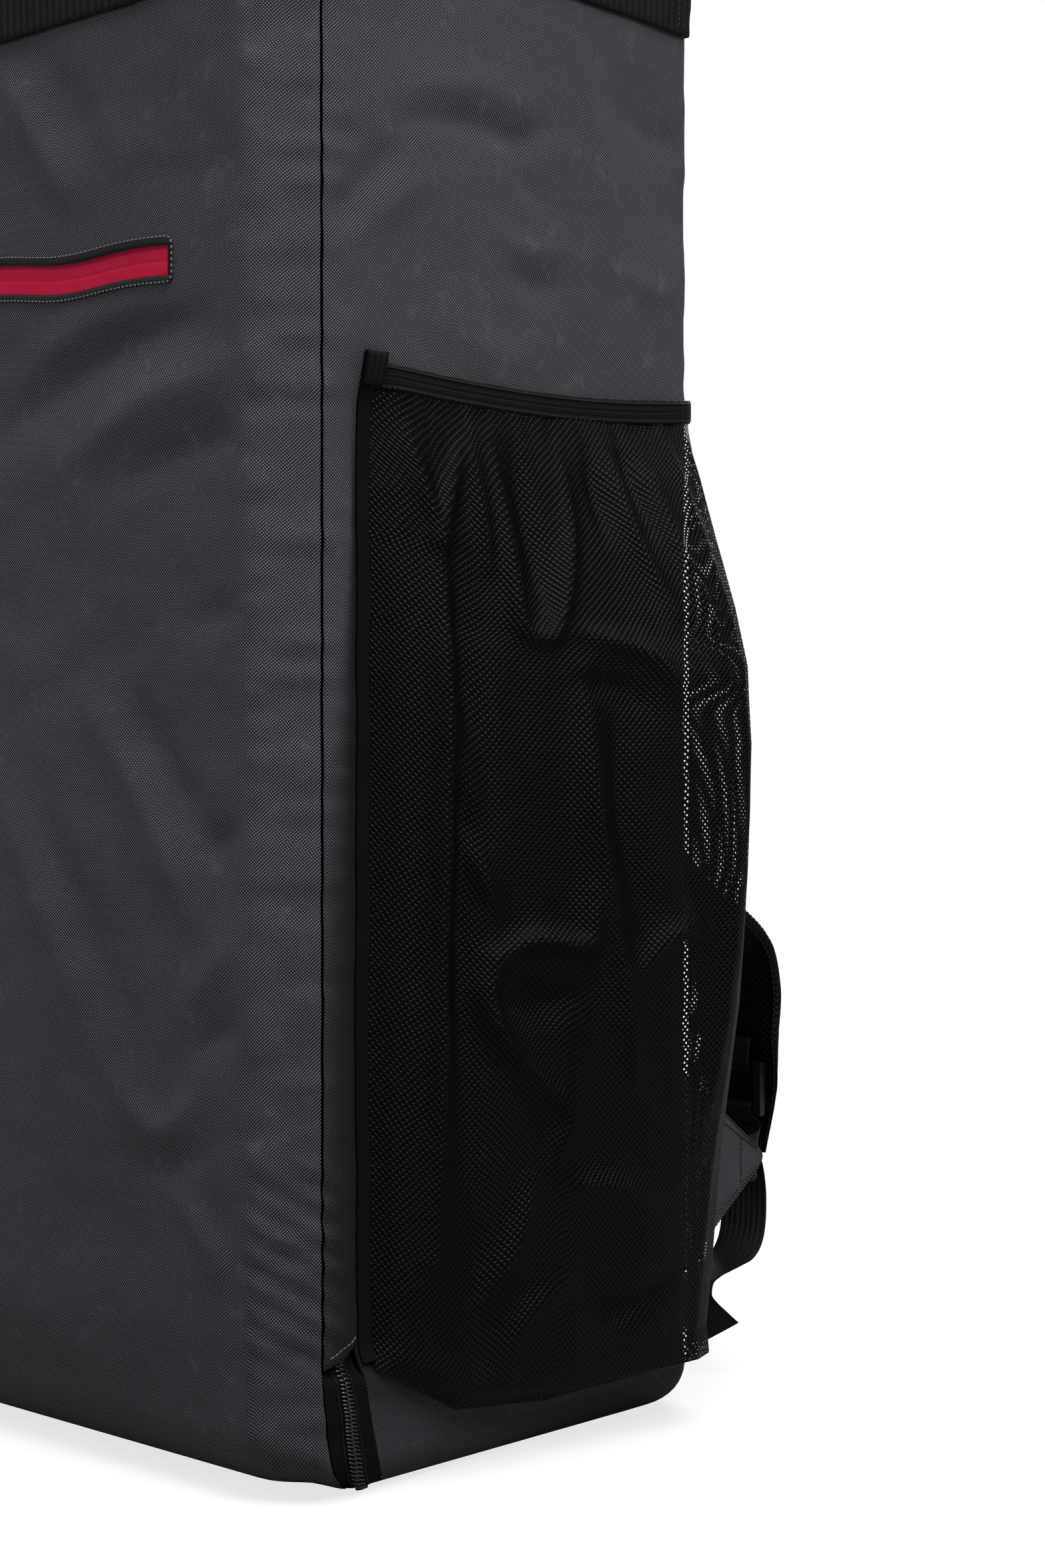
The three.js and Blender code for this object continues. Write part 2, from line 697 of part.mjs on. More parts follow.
// A lengthwise band of the main zip. It lies flush below the cover strip's hem
// and under the strip above it.
function zipBand(from, to, rise) {
  const hem = Math.min(flapHemFront, flapHemSide);
  const depthAt = (z) => {
    const flush = smooth((hem - z) / (3 * clothThickness));
    return -(1 - flush) * (clothThickness + zipUnderFlap + zipCoilRise);
  };
  const heights = [
    ...undersideLevels.map((level) => wallProfile(seamAt, level).z),
    ...spread(undersideCurl.side, hem - 3 * clothThickness, 2).slice(1),
    hem - clothThickness,
    ...spread(hem, wallTop - topCurl, 8),
  ];
  const grid = (lift) =>
    spread(from, to, rise > 0 ? 2 : 1).map((around, step) =>
      heights.map((z) => {
        const crown = step === 1 && rise > 0 ? rise * smooth(z / undersideCurl.side) : 0;
        const above = lift === 0 ? crown : lift;
        return offSkin(around, levelAt(around, z), depthAt(z) + above);
      }),
    );
  return slab(grid(0), grid(-zipThickness));
}

// Cloth band over the bag's surface, between two heights, for webbing and binding
function surfaceBand(places, footAt, headAt, outside, inside, rows = 1) {
  const levels = (around) =>
    spread(footAt(around), headAt(around), rows).map((z) => levelAt(around, z));
  return clothPanel(places, levels, outside, inside);
}

function compressionStrap() {
  const half = [
    ...spread(0, creaseAt, 7),
    (creaseAt + seamAt) / 2,
    ...spread(seamAt, backCornerAt - seamGap, 6),
  ];
  const left = half.slice(1).map((place) => -place).reverse();
  const head = (around) => strapFootAt(around) + strapWidth;
  const inside = seatGap;
  return surfaceBand([...left, ...half], strapFootAt, head, inside + strapThickness, inside);
}

function roundedPlate(width, height, thickness, corner) {
  const shape = new THREE.Shape();
  const x = width / 2;
  const y = height / 2;
  shape.moveTo(-x + corner, -y);
  shape.lineTo(x - corner, -y);
  shape.quadraticCurveTo(x, -y, x, -y + corner);
  shape.lineTo(x, y - corner);
  shape.quadraticCurveTo(x, y, x - corner, y);
  shape.lineTo(-x + corner, y);
  shape.quadraticCurveTo(-x, y, -x, y - corner);
  shape.lineTo(-x, -y + corner);
  shape.quadraticCurveTo(-x, -y, -x + corner, -y);
  return { shape, options: { depth: thickness, bevelEnabled: false, curveSegments: 4 } };
}

function strapBuckle() {
  const corner = buckleHeight / 6;
  const plate = roundedPlate(buckleLength, buckleHeight, buckleThickness, corner);
  const geometry = new THREE.ExtrudeGeometry(plate.shape, plate.options);
  geometry.rotateX(Math.PI / 2);
  const seat = offSkin(-buckleFromMiddle, levelAt(0, strapHeightAt(-buckleFromMiddle)), 0);
  const swellRoom = 2 * seatGap;
  geometry.translate(seat.x, seat.y - swellRoom - strapThickness - seatGap, seat.z);
  return geometry;
}

// The mesh pocket. Its surface is the side's, pushed out by the two bulge tables.
const pocketReach = backCornerAt - seamGap - meshFrontAt;

function pocketTopAt(across) {
  return pocketTop + pocketTopRise * across - pocketTopDip * 4 * across * (1 - across);
}

function pocketFootAt(across) {
  const drop = readTable(pocketFootLine, 'across', across, 'drop');
  return pocketFrontFoot + (pocketFoot - pocketFrontFoot) * drop;
}

function pocketOut(across, up) {
  const lengthwise = readTable(pocketBulgeUp, 'up', up, 'out');
  const crosswise = readTable(pocketBulgeAcross, 'across', across, 'out');
  const z = pocketFootAt(across) + up * (pocketTopAt(across) - pocketFootAt(across));
  const folds = foldHeight(pocketFolds, across * pocketReach, pocketReach, z, creaseDepth);
  const hold = smooth(6 * across * (1 - across)) * smooth(8 * up * (1 - up));
  const seated = 2 * seatGap + meshThickness;
  return seated + pocketDepth * lengthwise * crosswise + folds * hold;
}

function pocketPoint(across, up, inward) {
  const around = meshFrontAt + across * pocketReach;
  const foot = pocketFootAt(across);
  const head = pocketTopAt(across) - elasticHeight - seamGap;
  const z = foot + up * (head - foot);
  const base = offSkin(around, levelAt(around, z), 0);
  return base.setX(base.x + pocketOut(across, up) - inward);
}

function meshPocket() {
  const middleAcross = spread(0.12, 0.79, 8);
  const acrossPlaces = [0, 0.05, ...middleAcross, 0.87, 0.94, 0.98, 1];
  const upPlaces = [0, 0.022, 0.05, ...spread(0.11, 0.66, 9), 0.74, 0.8, 0.87, 0.94, 1];
  const grid = (inward) =>
    acrossPlaces.map((across) => upPlaces.map((up) => pocketPoint(across, up, inward)));
  return slab(grid(0), grid(meshThickness));
}

function pocketElastic() {
  const grid = (inward) =>
    spread(0, 1, 12).map((across) =>
      [0, 1].map((head) => {
        const around = meshFrontAt + across * pocketReach;
        const z = pocketTopAt(across) - elasticHeight * (1 - head);
        const base = offSkin(around, levelAt(around, z), 0);
        return base.setX(base.x + pocketOut(across, 1) + (elasticThickness - meshThickness) - inward);
      }),
    );
  return slab(grid(0), grid(elasticThickness));
}

function pocketFrontBinding() {
  const places = spread(pocketFrontAt, pocketFrontAt + bindingWidth, 1);
  const foot = () => pocketFrontFoot;
  const head = () => pocketTop;
  return surfaceBand(places, foot, head, seatGap + bindingThickness, seatGap, 18);
}

// The right shoulder strap
function backPoint(row) {
  const x = row.across * halfWidth;
  const y = halfDepth + row.off * sideDepth;
  return new THREE.Vector3(x, y, row.up * bagHeight);
}

function smoothRoute(rows, steps) {
  const curve = new THREE.CatmullRomCurve3(rows.map(backPoint));
  return spread(0, 1, steps).map((share) => ({
    point: curve.getPoint(share),
    tangent: curve.getTangent(share),
    row: share * (rows.length - 1),
  }));
}

function rowValue(rows, place, column) {
  const low = Math.min(rows.length - 2, Math.floor(place));
  const share = place - low;
  return rows[low][column] * (1 - share) + rows[low + 1][column] * share;
}

// A flat, round-edged section across a route
function ovalSection(centre, across, out, width, thickness, sides) {
  return spread(0, 2 * Math.PI, sides)
    .slice(0, -1)
    .map((angle) => {
      const wide = Math.sign(Math.cos(angle)) * Math.abs(Math.cos(angle)) ** 0.6;
      const thick = Math.sign(Math.sin(angle)) * Math.abs(Math.sin(angle)) ** 0.6;
      return centre
        .clone()
        .addScaledVector(across, (wide * width) / 2)
        .addScaledVector(out, (thick * thickness) / 2);
    });
}

function ribbonSection(centre, across, out, width, thickness) {
  const corners = [[-1, -1], [1, -1], [1, 1], [-1, 1]];
  return corners.map(([wide, thick]) =>
    centre
      .clone()
      .addScaledVector(across, (wide * width) / 2)
      .addScaledVector(out, (thick * thickness) / 2),
  );
}

function frameAt(tangent, hint) {
  const across = hint.clone().addScaledVector(tangent, -hint.dot(tangent)).normalize();
  const out = new THREE.Vector3().crossVectors(tangent, across).normalize();
  return { across, out };
}

function shoulderPad() {
  const stations = smoothRoute(padRoute, 2 * (padRoute.length - 1));
  const sections = stations.map(({ point, tangent, row }) => {
    const { across, out } = frameAt(tangent, new THREE.Vector3(1, 0, 0));
    const width = padTopWidth * rowValue(padRoute, row, 'width');
    const thickness = padThickness * rowValue(padRoute, row, 'thick');
    return ovalSection(point, across, out, width, thickness, padSection);
  });
  return loft(sections);
}

// The plastic lock hangs under the pad's lower end
const lockTop = padEnd.up * bagHeight - seatGap;
const lockFoot = lockTop - lockHeight;
const lockX = padEnd.across * halfWidth;
const lockY = halfDepth + padEnd.off * sideDepth;

function strapLock() {
  const corner = lockBar / 2;
  const plate = roundedPlate(lockWidth, lockHeight, lockThickness, corner);
  const opening = roundedPlate(lockWindow, lockHeight - 2 * lockBar, lockThickness, corner / 2);
  plate.shape.holes.push(new THREE.Path(opening.shape.getPoints(3).reverse()));
  const geometry = new THREE.ExtrudeGeometry(plate.shape, plate.options);
  geometry.rotateX(Math.PI / 2);
  geometry.translate(lockX, lockY + lockThickness / 2, (lockTop + lockFoot) / 2);
  return geometry;
}

// A ribbon through stations, each with its place and the hint for its width
function ribbon(stations, width, thickness) {
  const sections = stations.map((station, step) => {
    const before = stations[Math.max(0, step - 1)].point;
    const after = stations[Math.min(stations.length - 1, step + 1)].point;
    const tangent = after.clone().sub(before).normalize();
    const { across, out } = frameAt(tangent, station.hint);
    return ribbonSection(station.point, across, out, width, thickness);
  });
  return loft(sections);
}

// The webbing starts on the tab, goes up behind the lock's lower bar, turns over
// it and hangs down outside as a free tail
function strapWebbing() {
  const wide = new THREE.Vector3(1, 0, 0);
  const tall = new THREE.Vector3(0, 0, 1);
  const tip = tabPoint(tabReach - 4);
  const onTab = tabPoint(tabReach - 26);
  const behindTab = tabThickness / 2 + seatGap + webbingThickness / 2;
  const inward = (point) => point.clone().setX(point.x - behindTab);
  const loopRadius = lockThickness / 2 + seatGap + webbingThickness / 2;
  const barTop = lockFoot + lockBar;
  const behind = (z) => new THREE.Vector3(lockX, lockY - loopRadius, z);
  const lockEntry = behind(barTop - 3 * lockBar).setY(lockY - loopRadius - seatGap);
  const middle = tip.clone().lerp(lockEntry, 0.55).setY(lockY - loopRadius - webbingThickness);
  const stations = [
    { point: inward(onTab), hint: tall },
    { point: inward(tip), hint: tall },
    { point: middle, hint: new THREE.Vector3(0.55, 0, 0.8) },
    { point: lockEntry, hint: new THREE.Vector3(1, 0, 0.25) },
    { point: behind(barTop), hint: wide },
  ];
  for (const turn of [45, 90, 135, 180]) {
    const angle = radians(turn);
    const y = lockY - loopRadius * Math.cos(angle);
    const z = barTop + loopRadius * Math.sin(angle);
    stations.push({ point: new THREE.Vector3(lockX, y, z), hint: wide });
  }
  for (const { point, row } of smoothRoute(tailRoute, 2 * (tailRoute.length - 1))) {
    const turn = radians(rowValue(tailRoute, row, 'turn'));
    const swing = radians(tailSwing) * smooth(row / 2);
    stations.push({ point, hint: new THREE.Vector3(Math.cos(turn), Math.sin(swing), Math.sin(turn)) });
  }
  return ribbon(stations, webbingWidth, webbingThickness);
}

// The keeper loops round the lock's upper bar and grips the pad's end
function strapKeeper() {
  const padHalf = (padThickness * padRoute[padRoute.length - 2].thick) / 2;
  const loopRadius = padHalf + seatGap + webbingThickness / 2;
  const barFoot = lockTop - lockBar;
  const foot = barFoot - seatGap - webbingThickness / 2;
  const head = lockTop + keeperReach;
  const lean = (padRoute[padRoute.length - 2].off - padEnd.off) * sideDepth;
  const profile = [
    { y: -loopRadius + lean, z: head },
    { y: -loopRadius, z: lockTop },
    { y: -loopRadius, z: barFoot + 2 },
    { y: -loopRadius * 0.6, z: foot },
    { y: loopRadius * 0.6, z: foot },
    { y: loopRadius, z: barFoot + 2 },
    { y: loopRadius, z: lockTop },
    { y: loopRadius + lean, z: head },
  ];
  const stations = profile.map(({ y, z }) => ({
    point: new THREE.Vector3(lockX, lockY + y, z),
    hint: new THREE.Vector3(1, 0, 0),
  }));
  return ribbon(stations, webbingWidth, webbingThickness);
}

// The grey tab on the back corner: a triangle whose tip holds the webbing
const tabSeatY = halfDepth + seatGap + backSwell * 0.1;
const tabX = halfWidth - tabThickness;
const tabTipZ = tabFoot + tabHeight / 2;

function tabPoint(reach) {
  const turn = radians(tabTurn);
  const x = tabX - reach * Math.sin(turn);
  return new THREE.Vector3(x, tabSeatY + reach * Math.cos(turn), tabTipZ);
}

function anchorTab() {
  const shape = new THREE.Shape();
  shape.moveTo(0, -tabHeight / 2);
  shape.lineTo(tabReach - 3, -tabTipWidth / 2);
  shape.quadraticCurveTo(tabReach + 1, 0, tabReach - 3, tabTipWidth / 2);
  shape.lineTo(0, tabHeight / 2);
  const geometry = new THREE.ExtrudeGeometry(shape, {
    depth: tabThickness,
    bevelEnabled: false,
    curveSegments: 4,
  });
  geometry.translate(0, 0, -tabThickness / 2);
  geometry.rotateX(Math.PI / 2);
  geometry.rotateZ(Math.PI / 2 + radians(tabTurn));
  geometry.translate(tabX, tabSeatY, tabTipZ);
  return geometry;
}

// Plain sliders where the photo's edge hides them
function pocketSlider() {
  const plate = roundedPlate(pullWidth, pullLength, pullThickness, pullWidth / 4);
  const geometry = new THREE.ExtrudeGeometry(plate.shape, plate.options);
  geometry.rotateX(Math.PI / 2);
  const x = -windowLength / 2 + pullWidth;
  const z = windowLineAt(x);
  const seat = offSkin(x, levelAt(x, z), frameThickness + 2 * seatGap);
  geometry.translate(seat.x, seat.y - seatGap, seat.z - pullLength / 4);
  return geometry;
}

function mainSlider() {
  const plate = roundedPlate(pullWidth, pullLength, pullThickness, pullWidth / 4);
  const geometry = new THREE.ExtrudeGeometry(plate.shape, plate.options);
  geometry.rotateX(Math.PI / 2);
  geometry.rotateZ(Math.PI / 2);
  const around = seamAt + zipFrontTape + zipCoilWidth / 2;
  const z = flapHemFront - pullLength / 2 - 3 * clothThickness;
  const seat = offSkin(around, levelAt(around, z), zipCoilRise + seatGap);
  geometry.translate(seat.x, seat.y, seat.z);
  return geometry;
}

// Each piece by its name, its geometry and its finish
const model = new THREE.Group();

function addPiece(name, geometry, finish) {
  const mesh = new THREE.Mesh(geometry, new THREE.MeshStandardMaterial(finish));
  mesh.name = name;
  model.add(mesh);
}

addPiece('front_panel', frontPanel(), cloth);
addPiece('back_panel', backPanel(), cloth);
addPiece('top_panel', topPanel(), cloth);
addPiece('bottom_panel', bottomPanel(), cloth);
addPiece('zip_flap_top', topFlap(), cloth);
addPiece('main_zip_top_tape', topZipTape(), webbing);

// Pieces that come in pairs are built on the right and mirrored for the left
function mirrored(geometry) {
  const left = geometry.clone();
  left.scale(-1, 1, 1);
  if (left.index) {
    left.setIndex(Array.from(left.index.array).reverse());
    return left;
  }
  const merged = mergeVertices(left, 1e-3);
  merged.setIndex(Array.from(merged.index.array).reverse());
  return merged;
}

function addPair(name, geometry, finish) {
  addPiece(`${name}_right`, geometry, finish);
  addPiece(`${name}_left`, mirrored(geometry), finish);
}

const tapeFrom = seamAt + seamGap / 2;
const coilFrom = seamAt + zipFrontTape;
const coilTo = coilFrom + zipCoilWidth;
const tapeTo = flapEndAt - 2 * seamGap;
const coilGap = zipTapeGap / 2;
addPair('side_panel', sidePanel(), cloth);
addPair('zip_flap', zipFlap(), cloth);
addPair('main_zip_front_tape', zipBand(tapeFrom, coilFrom - coilGap, 0), webbing);
addPair('main_zip_coil', zipBand(coilFrom + coilGap, coilTo - coilGap, zipCoilRise), plastic);
addPair('main_zip_side_tape', zipBand(coilTo + coilGap, tapeTo, 0), webbing);
addPair('shoulder_pad', shoulderPad(), netting);
addPair('strap_lock', strapLock(), plastic);
addPair('strap_keeper', strapKeeper(), webbing);
addPair('strap_webbing', strapWebbing(), webbing);
addPair('anchor_tab', anchorTab(), cloth);
addPiece('main_zip_slider_left', mirrored(mainSlider()), plastic);

const tapeSeat = -clothThickness - seatGap;
const pocketTape = windowBand(tapeBorder, tapeSeat, tapeSeat - zipThickness);
addPiece('pocket_zip_tape', pocketTape, redTape);
const frameBand = solidOf(windowBand(frameWidth, seatGap + frameThickness, seatGap));
addPiece('pocket_zip_frame', geometryOf(frameBand.subtract(solidOf(windowCutter(0)))), cloth);
addPiece('pocket_zip_slider', pocketSlider(), plastic);

addPiece('compression_strap', compressionStrap(), webbing);
addPiece('strap_buckle', strapBuckle(), plastic);

addPiece('mesh_pocket', meshPocket(), netting);
addPiece('pocket_elastic', pocketElastic(), webbing);
addPiece('pocket_front_binding', pocketFrontBinding(), webbing);

export default model;
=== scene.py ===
"""Finish of a tall carry backpack for a packed inflatable kayak: grey coated weave, a
zip up each front corner, a net pocket, a webbing strap and two shoulder straps."""

import math

import bmesh
import bpy
import numpy as np
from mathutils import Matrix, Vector


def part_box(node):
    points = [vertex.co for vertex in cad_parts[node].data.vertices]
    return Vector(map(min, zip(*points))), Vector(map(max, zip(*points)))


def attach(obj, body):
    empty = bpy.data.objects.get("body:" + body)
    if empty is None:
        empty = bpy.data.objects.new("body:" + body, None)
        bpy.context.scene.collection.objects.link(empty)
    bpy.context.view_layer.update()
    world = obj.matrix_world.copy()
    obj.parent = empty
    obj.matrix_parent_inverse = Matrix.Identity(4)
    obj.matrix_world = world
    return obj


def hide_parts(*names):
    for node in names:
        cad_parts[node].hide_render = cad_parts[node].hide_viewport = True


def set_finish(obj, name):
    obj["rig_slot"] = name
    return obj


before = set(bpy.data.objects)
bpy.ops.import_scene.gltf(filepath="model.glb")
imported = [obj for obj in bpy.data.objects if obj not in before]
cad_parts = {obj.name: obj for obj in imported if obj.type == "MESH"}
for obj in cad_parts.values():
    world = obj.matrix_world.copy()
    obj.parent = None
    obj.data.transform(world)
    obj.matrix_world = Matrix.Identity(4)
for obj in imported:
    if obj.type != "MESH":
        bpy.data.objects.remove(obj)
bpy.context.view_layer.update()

MM = 0.001

# Driving sizes of the bag's body, in millimetres
BAG_WIDTH = 540
BAG_HEIGHT = 969
SIDE_DEPTH = 300
STRIP_INWARD = 28
STRIP_FORWARD = 27
CURL_FRONT = 40
CURL_SIDE = 22
CURL_BACK = 26
TOP_CURL = 38
TOP_DOME = 12
FRONT_LIFT = 5
FRONT_LIFT_REACH = 24
FRONT_SWELL = 9
SIDE_SWELL = 7
BACK_SWELL = 6
EDGE_FADE = 55
CURL_SHARE = 0.08
CORNER_ROUND = 3.5
CREASE_ROUND = 9
CREASE_TURN = 22
HEM_DROP = 2.2
CAP_GAP = 0.8
SEAM_GAP = 0.4

# The corner zips and their cover strips
ZIP_GAP = 2.0
FRONT_TAPE = 9
COIL_WIDTH = 8
SIDE_TAPE = 10
FLAP_WIDTH = FRONT_TAPE + COIL_WIDTH + SIDE_TAPE
FLAP_HEM_FRONT = 72
FLAP_HEM_SIDE = 83
ZIP_SUNK = 4.1
TOOTH_PITCH = 2.3
ZIP_LEAN = 7
ZIP_FLARE = 11
ZIP_LEAN_TOP = 80
ZIP_LEAN_REACH = 36
ZIP_LEAN_ASIDE = 1.8
ZIP_FLARE_FROM = 5
ZIP_FLARE_REACH = 22
TAPE_CUT = 0.6

# The window of the front pocket's zip
WINDOW_LENGTH = 366
WINDOW_RIM_INWARD = 2.5
WINDOW_HEIGHT = 22
WINDOW_MIDDLE = 675
WINDOW_DROOP = 8
WINDOW_CORNER = 3
WINDOW_SAG = 6
WINDOW_SAG_AT = 92
WINDOW_SAG_REACH = 46
TAPE_SUNK = 3.0

# The net pocket
POCKET_INSET = 28
POCKET_TOP = 610
POCKET_TOP_DIP = 8
POCKET_TOP_RISE = 5
POCKET_DEPTH = 81
POCKET_FRONT_FOOT = 69
POCKET_FOOT = 28
BINDING_WIDTH = 6.5
ELASTIC_HEIGHT = 14
ELASTIC_THICKNESS = 3
ELASTIC_RIBS = 7
NET_CLEAR = 1.2

# The strap round the top, the shoulder straps and their tabs
STRAP_WIDTH = 38
STRAP_FOOT_FRONT = 809
STRAP_FOOT_SIDE = 835
PAD_WIDTH = 66
PAD_THICKNESS = 11
WEBBING_WIDTH = 30
TAIL_SWING = math.radians(34)
WEBBING_THICKNESS = 1.4
LOCK_HEIGHT = 36
LOCK_THICKNESS = 5
LOCK_BAR = 5
KEEPER_REACH = 16
TAB_HEIGHT = 121
TAB_REACH = 106
TAB_FOOT = 82
TAB_THICKNESS = 2.4
TAB_TIP = 6
TAB_TIP_DROP = 3.5
TAB_TURN = math.radians(11)
SEAT_GAP = 0.5

# Stitches: a thread's width and length, and the step from one to the next
STITCHES = {
    "window": (0.85, 1.8, 3.3),
    "tape": (0.5, 1.9, 2.4),
    "flap": (0.5, 2.7, 3.3),
    "pocket_band": (0.55, 2.7, 3.3),
    "pad": (0.62, 2.8, 3.6),
    "tab": (1.3, 2.7, 3.3),
    "top_strap": (0.62, 2.7, 3.3),
}
STITCH_LIFT = 0.15

# How finely the cloth is divided: rows close to an edge, rows over each curl, and the
# steps between columns and rows
EDGE_ROWS = np.array([0, 0.5, 1.1, 2.0, 3.4])
EDGE_REACH = 5.5
CURL_ROWS = 10
FRONT_STEP = 4.6
STRIP_STEP = 2.6
ROW_STEP = 4.4
BACK_STEP = 5.4
SIDE_ROWS = 214
SIDE_LOW_ROWS = 14
FLAP_COLUMNS = 8
CAP_COLUMNS = 84
CAP_STEP = 6
WINDOW_COLUMNS = 90
RED_TAPE_COLUMNS = 100
NET_COLUMNS = 104
NET_ROWS = 210
BAND_COLUMNS = 130
BINDING_ROWS = 190
STRAP_COLUMNS = 260

# Seeds of the random waves, and the small creases along the sewn seams
SEEDS = {
    "front": 11, "side": 37, "back": 53, "seams": 71, "gathers": 21, "net": 22, "elastic": 31,
    "binding": 41, "tab": 61, "strap": 81, "top": 91, "under": 93,
}
LADDER_RISE = 0.9
LADDER_PITCH = 15.8
LADDER_SLANT = 0.55
LADDER_FOOT = 62
LADDER_TOP = 195
VALLEY_DEPTH = 9
VALLEY_REACH = 12
SEAM_HOLLOW = 1.6
CREASE_RISE = 0.9

# Rods for stitches and teeth: each ring's place along the rod and its girth
ROD_RINGS = ((0.0, 0.35), (0.12, 0.85), (0.5, 1.0), (0.88, 0.85), (1.0, 0.35))
ROD_SIDES = 6
ROD_TALL = 0.6

# The teeth of a corner zip, measured from the coil's middle
TOOTH_WIDTH = 1.6
TOOTH_INNER = 0.5
TOOTH_OUTER = 3.3
TOOTH_FOOT = 2.0
TAPE_STITCH_AT = 4.6
COIL_CROWN = 0.8

# How finely the pads and the webbing are divided, then the pads' sewing: rows across at
# even steps in millimetres and a channel along each edge, as shares of the pad's size
PAD_STEPS = 100
PAD_SIDES = 40
WEBBING_SIDES = 24
TAIL_STEPS = 19
QUILT_STEP = 62
QUILT_DEPTH = 0.1
CHANNEL_AT = 0.86
CHANNEL_DEPTH = 0.34

# Places that follow from the sizes. "Around" is the distance along the outline in
# plan from the middle of the front, positive to the right.
HALF_WIDTH = BAG_WIDTH / 2
HALF_DEPTH = (SIDE_DEPTH + STRIP_FORWARD) / 2
WALL_TOP = BAG_HEIGHT - TOP_DOME
CREASE_AT = HALF_WIDTH - STRIP_INWARD
SEAM_AT = CREASE_AT + math.hypot(STRIP_INWARD, STRIP_FORWARD)
BACK_CORNER_AT = SEAM_AT + SIDE_DEPTH
BACK_MIDDLE_AT = BACK_CORNER_AT + HALF_WIDTH
FLAP_END_AT = SEAM_AT + FLAP_WIDTH
POCKET_FRONT_AT = SEAM_AT + POCKET_INSET
NET_FRONT_AT = POCKET_FRONT_AT + BINDING_WIDTH + SEAM_GAP
NET_WIDTH = BACK_CORNER_AT - SEAT_GAP - NET_FRONT_AT
LENGTHS = {"front": 2 * CREASE_AT, "side": SIDE_DEPTH, "back": BAG_WIDTH, "net": NET_WIDTH}
HANDS = (("right", np.array([1, 1, 1])), ("left", np.array([-1, 1, 1])))
BOTH_SIDES = ["side_cloth_right", "side_cloth_left"]


def table(columns, *rows):
    """A table as one array for each named column."""
    return {name: np.array(cells, float) for name, cells in zip(columns.split(), zip(*rows))}


def crease_row(turn):
    """A place on the soft bend between the front and the corner strip."""
    radius = CREASE_ROUND / math.tan(math.radians(CREASE_TURN))
    across = radius * math.sin(math.radians(turn))
    back = radius * (1 - math.cos(math.radians(turn)))
    around = CREASE_AT + CREASE_ROUND * (turn / CREASE_TURN - 1)
    return around, CREASE_AT - CREASE_ROUND + across, back - HALF_DEPTH, turn


OUTLINE = table(
    "around x y turn",
    (0, 0, -HALF_DEPTH, 0),
    *(crease_row(turn) for turn in (0, 7, 15, 22, 29, 37, 44)),
    (SEAM_AT - CORNER_ROUND, HALF_WIDTH - 2.5, STRIP_FORWARD - 2.4 - HALF_DEPTH, 44),
    (SEAM_AT, HALF_WIDTH, STRIP_FORWARD - HALF_DEPTH, 67),
    (SEAM_AT + CORNER_ROUND, HALF_WIDTH, STRIP_FORWARD + 3.5 - HALF_DEPTH, 90),
    (BACK_CORNER_AT - CORNER_ROUND, HALF_WIDTH, HALF_DEPTH - CORNER_ROUND, 90),
    (BACK_CORNER_AT, HALF_WIDTH, HALF_DEPTH, 135),
    (BACK_CORNER_AT + CORNER_ROUND, HALF_WIDTH - CORNER_ROUND, HALF_DEPTH, 180),
    (BACK_MIDDLE_AT, 0, HALF_DEPTH, 180),
)
CURL_HEIGHTS = table(
    "around height",
    (0, CURL_FRONT),
    (CREASE_AT, CURL_FRONT),
    (SEAM_AT, CURL_SIDE),
    (BACK_CORNER_AT - CURL_BACK, CURL_SIDE),
    (BACK_CORNER_AT, CURL_BACK),
    (BACK_MIDDLE_AT, CURL_BACK),
)

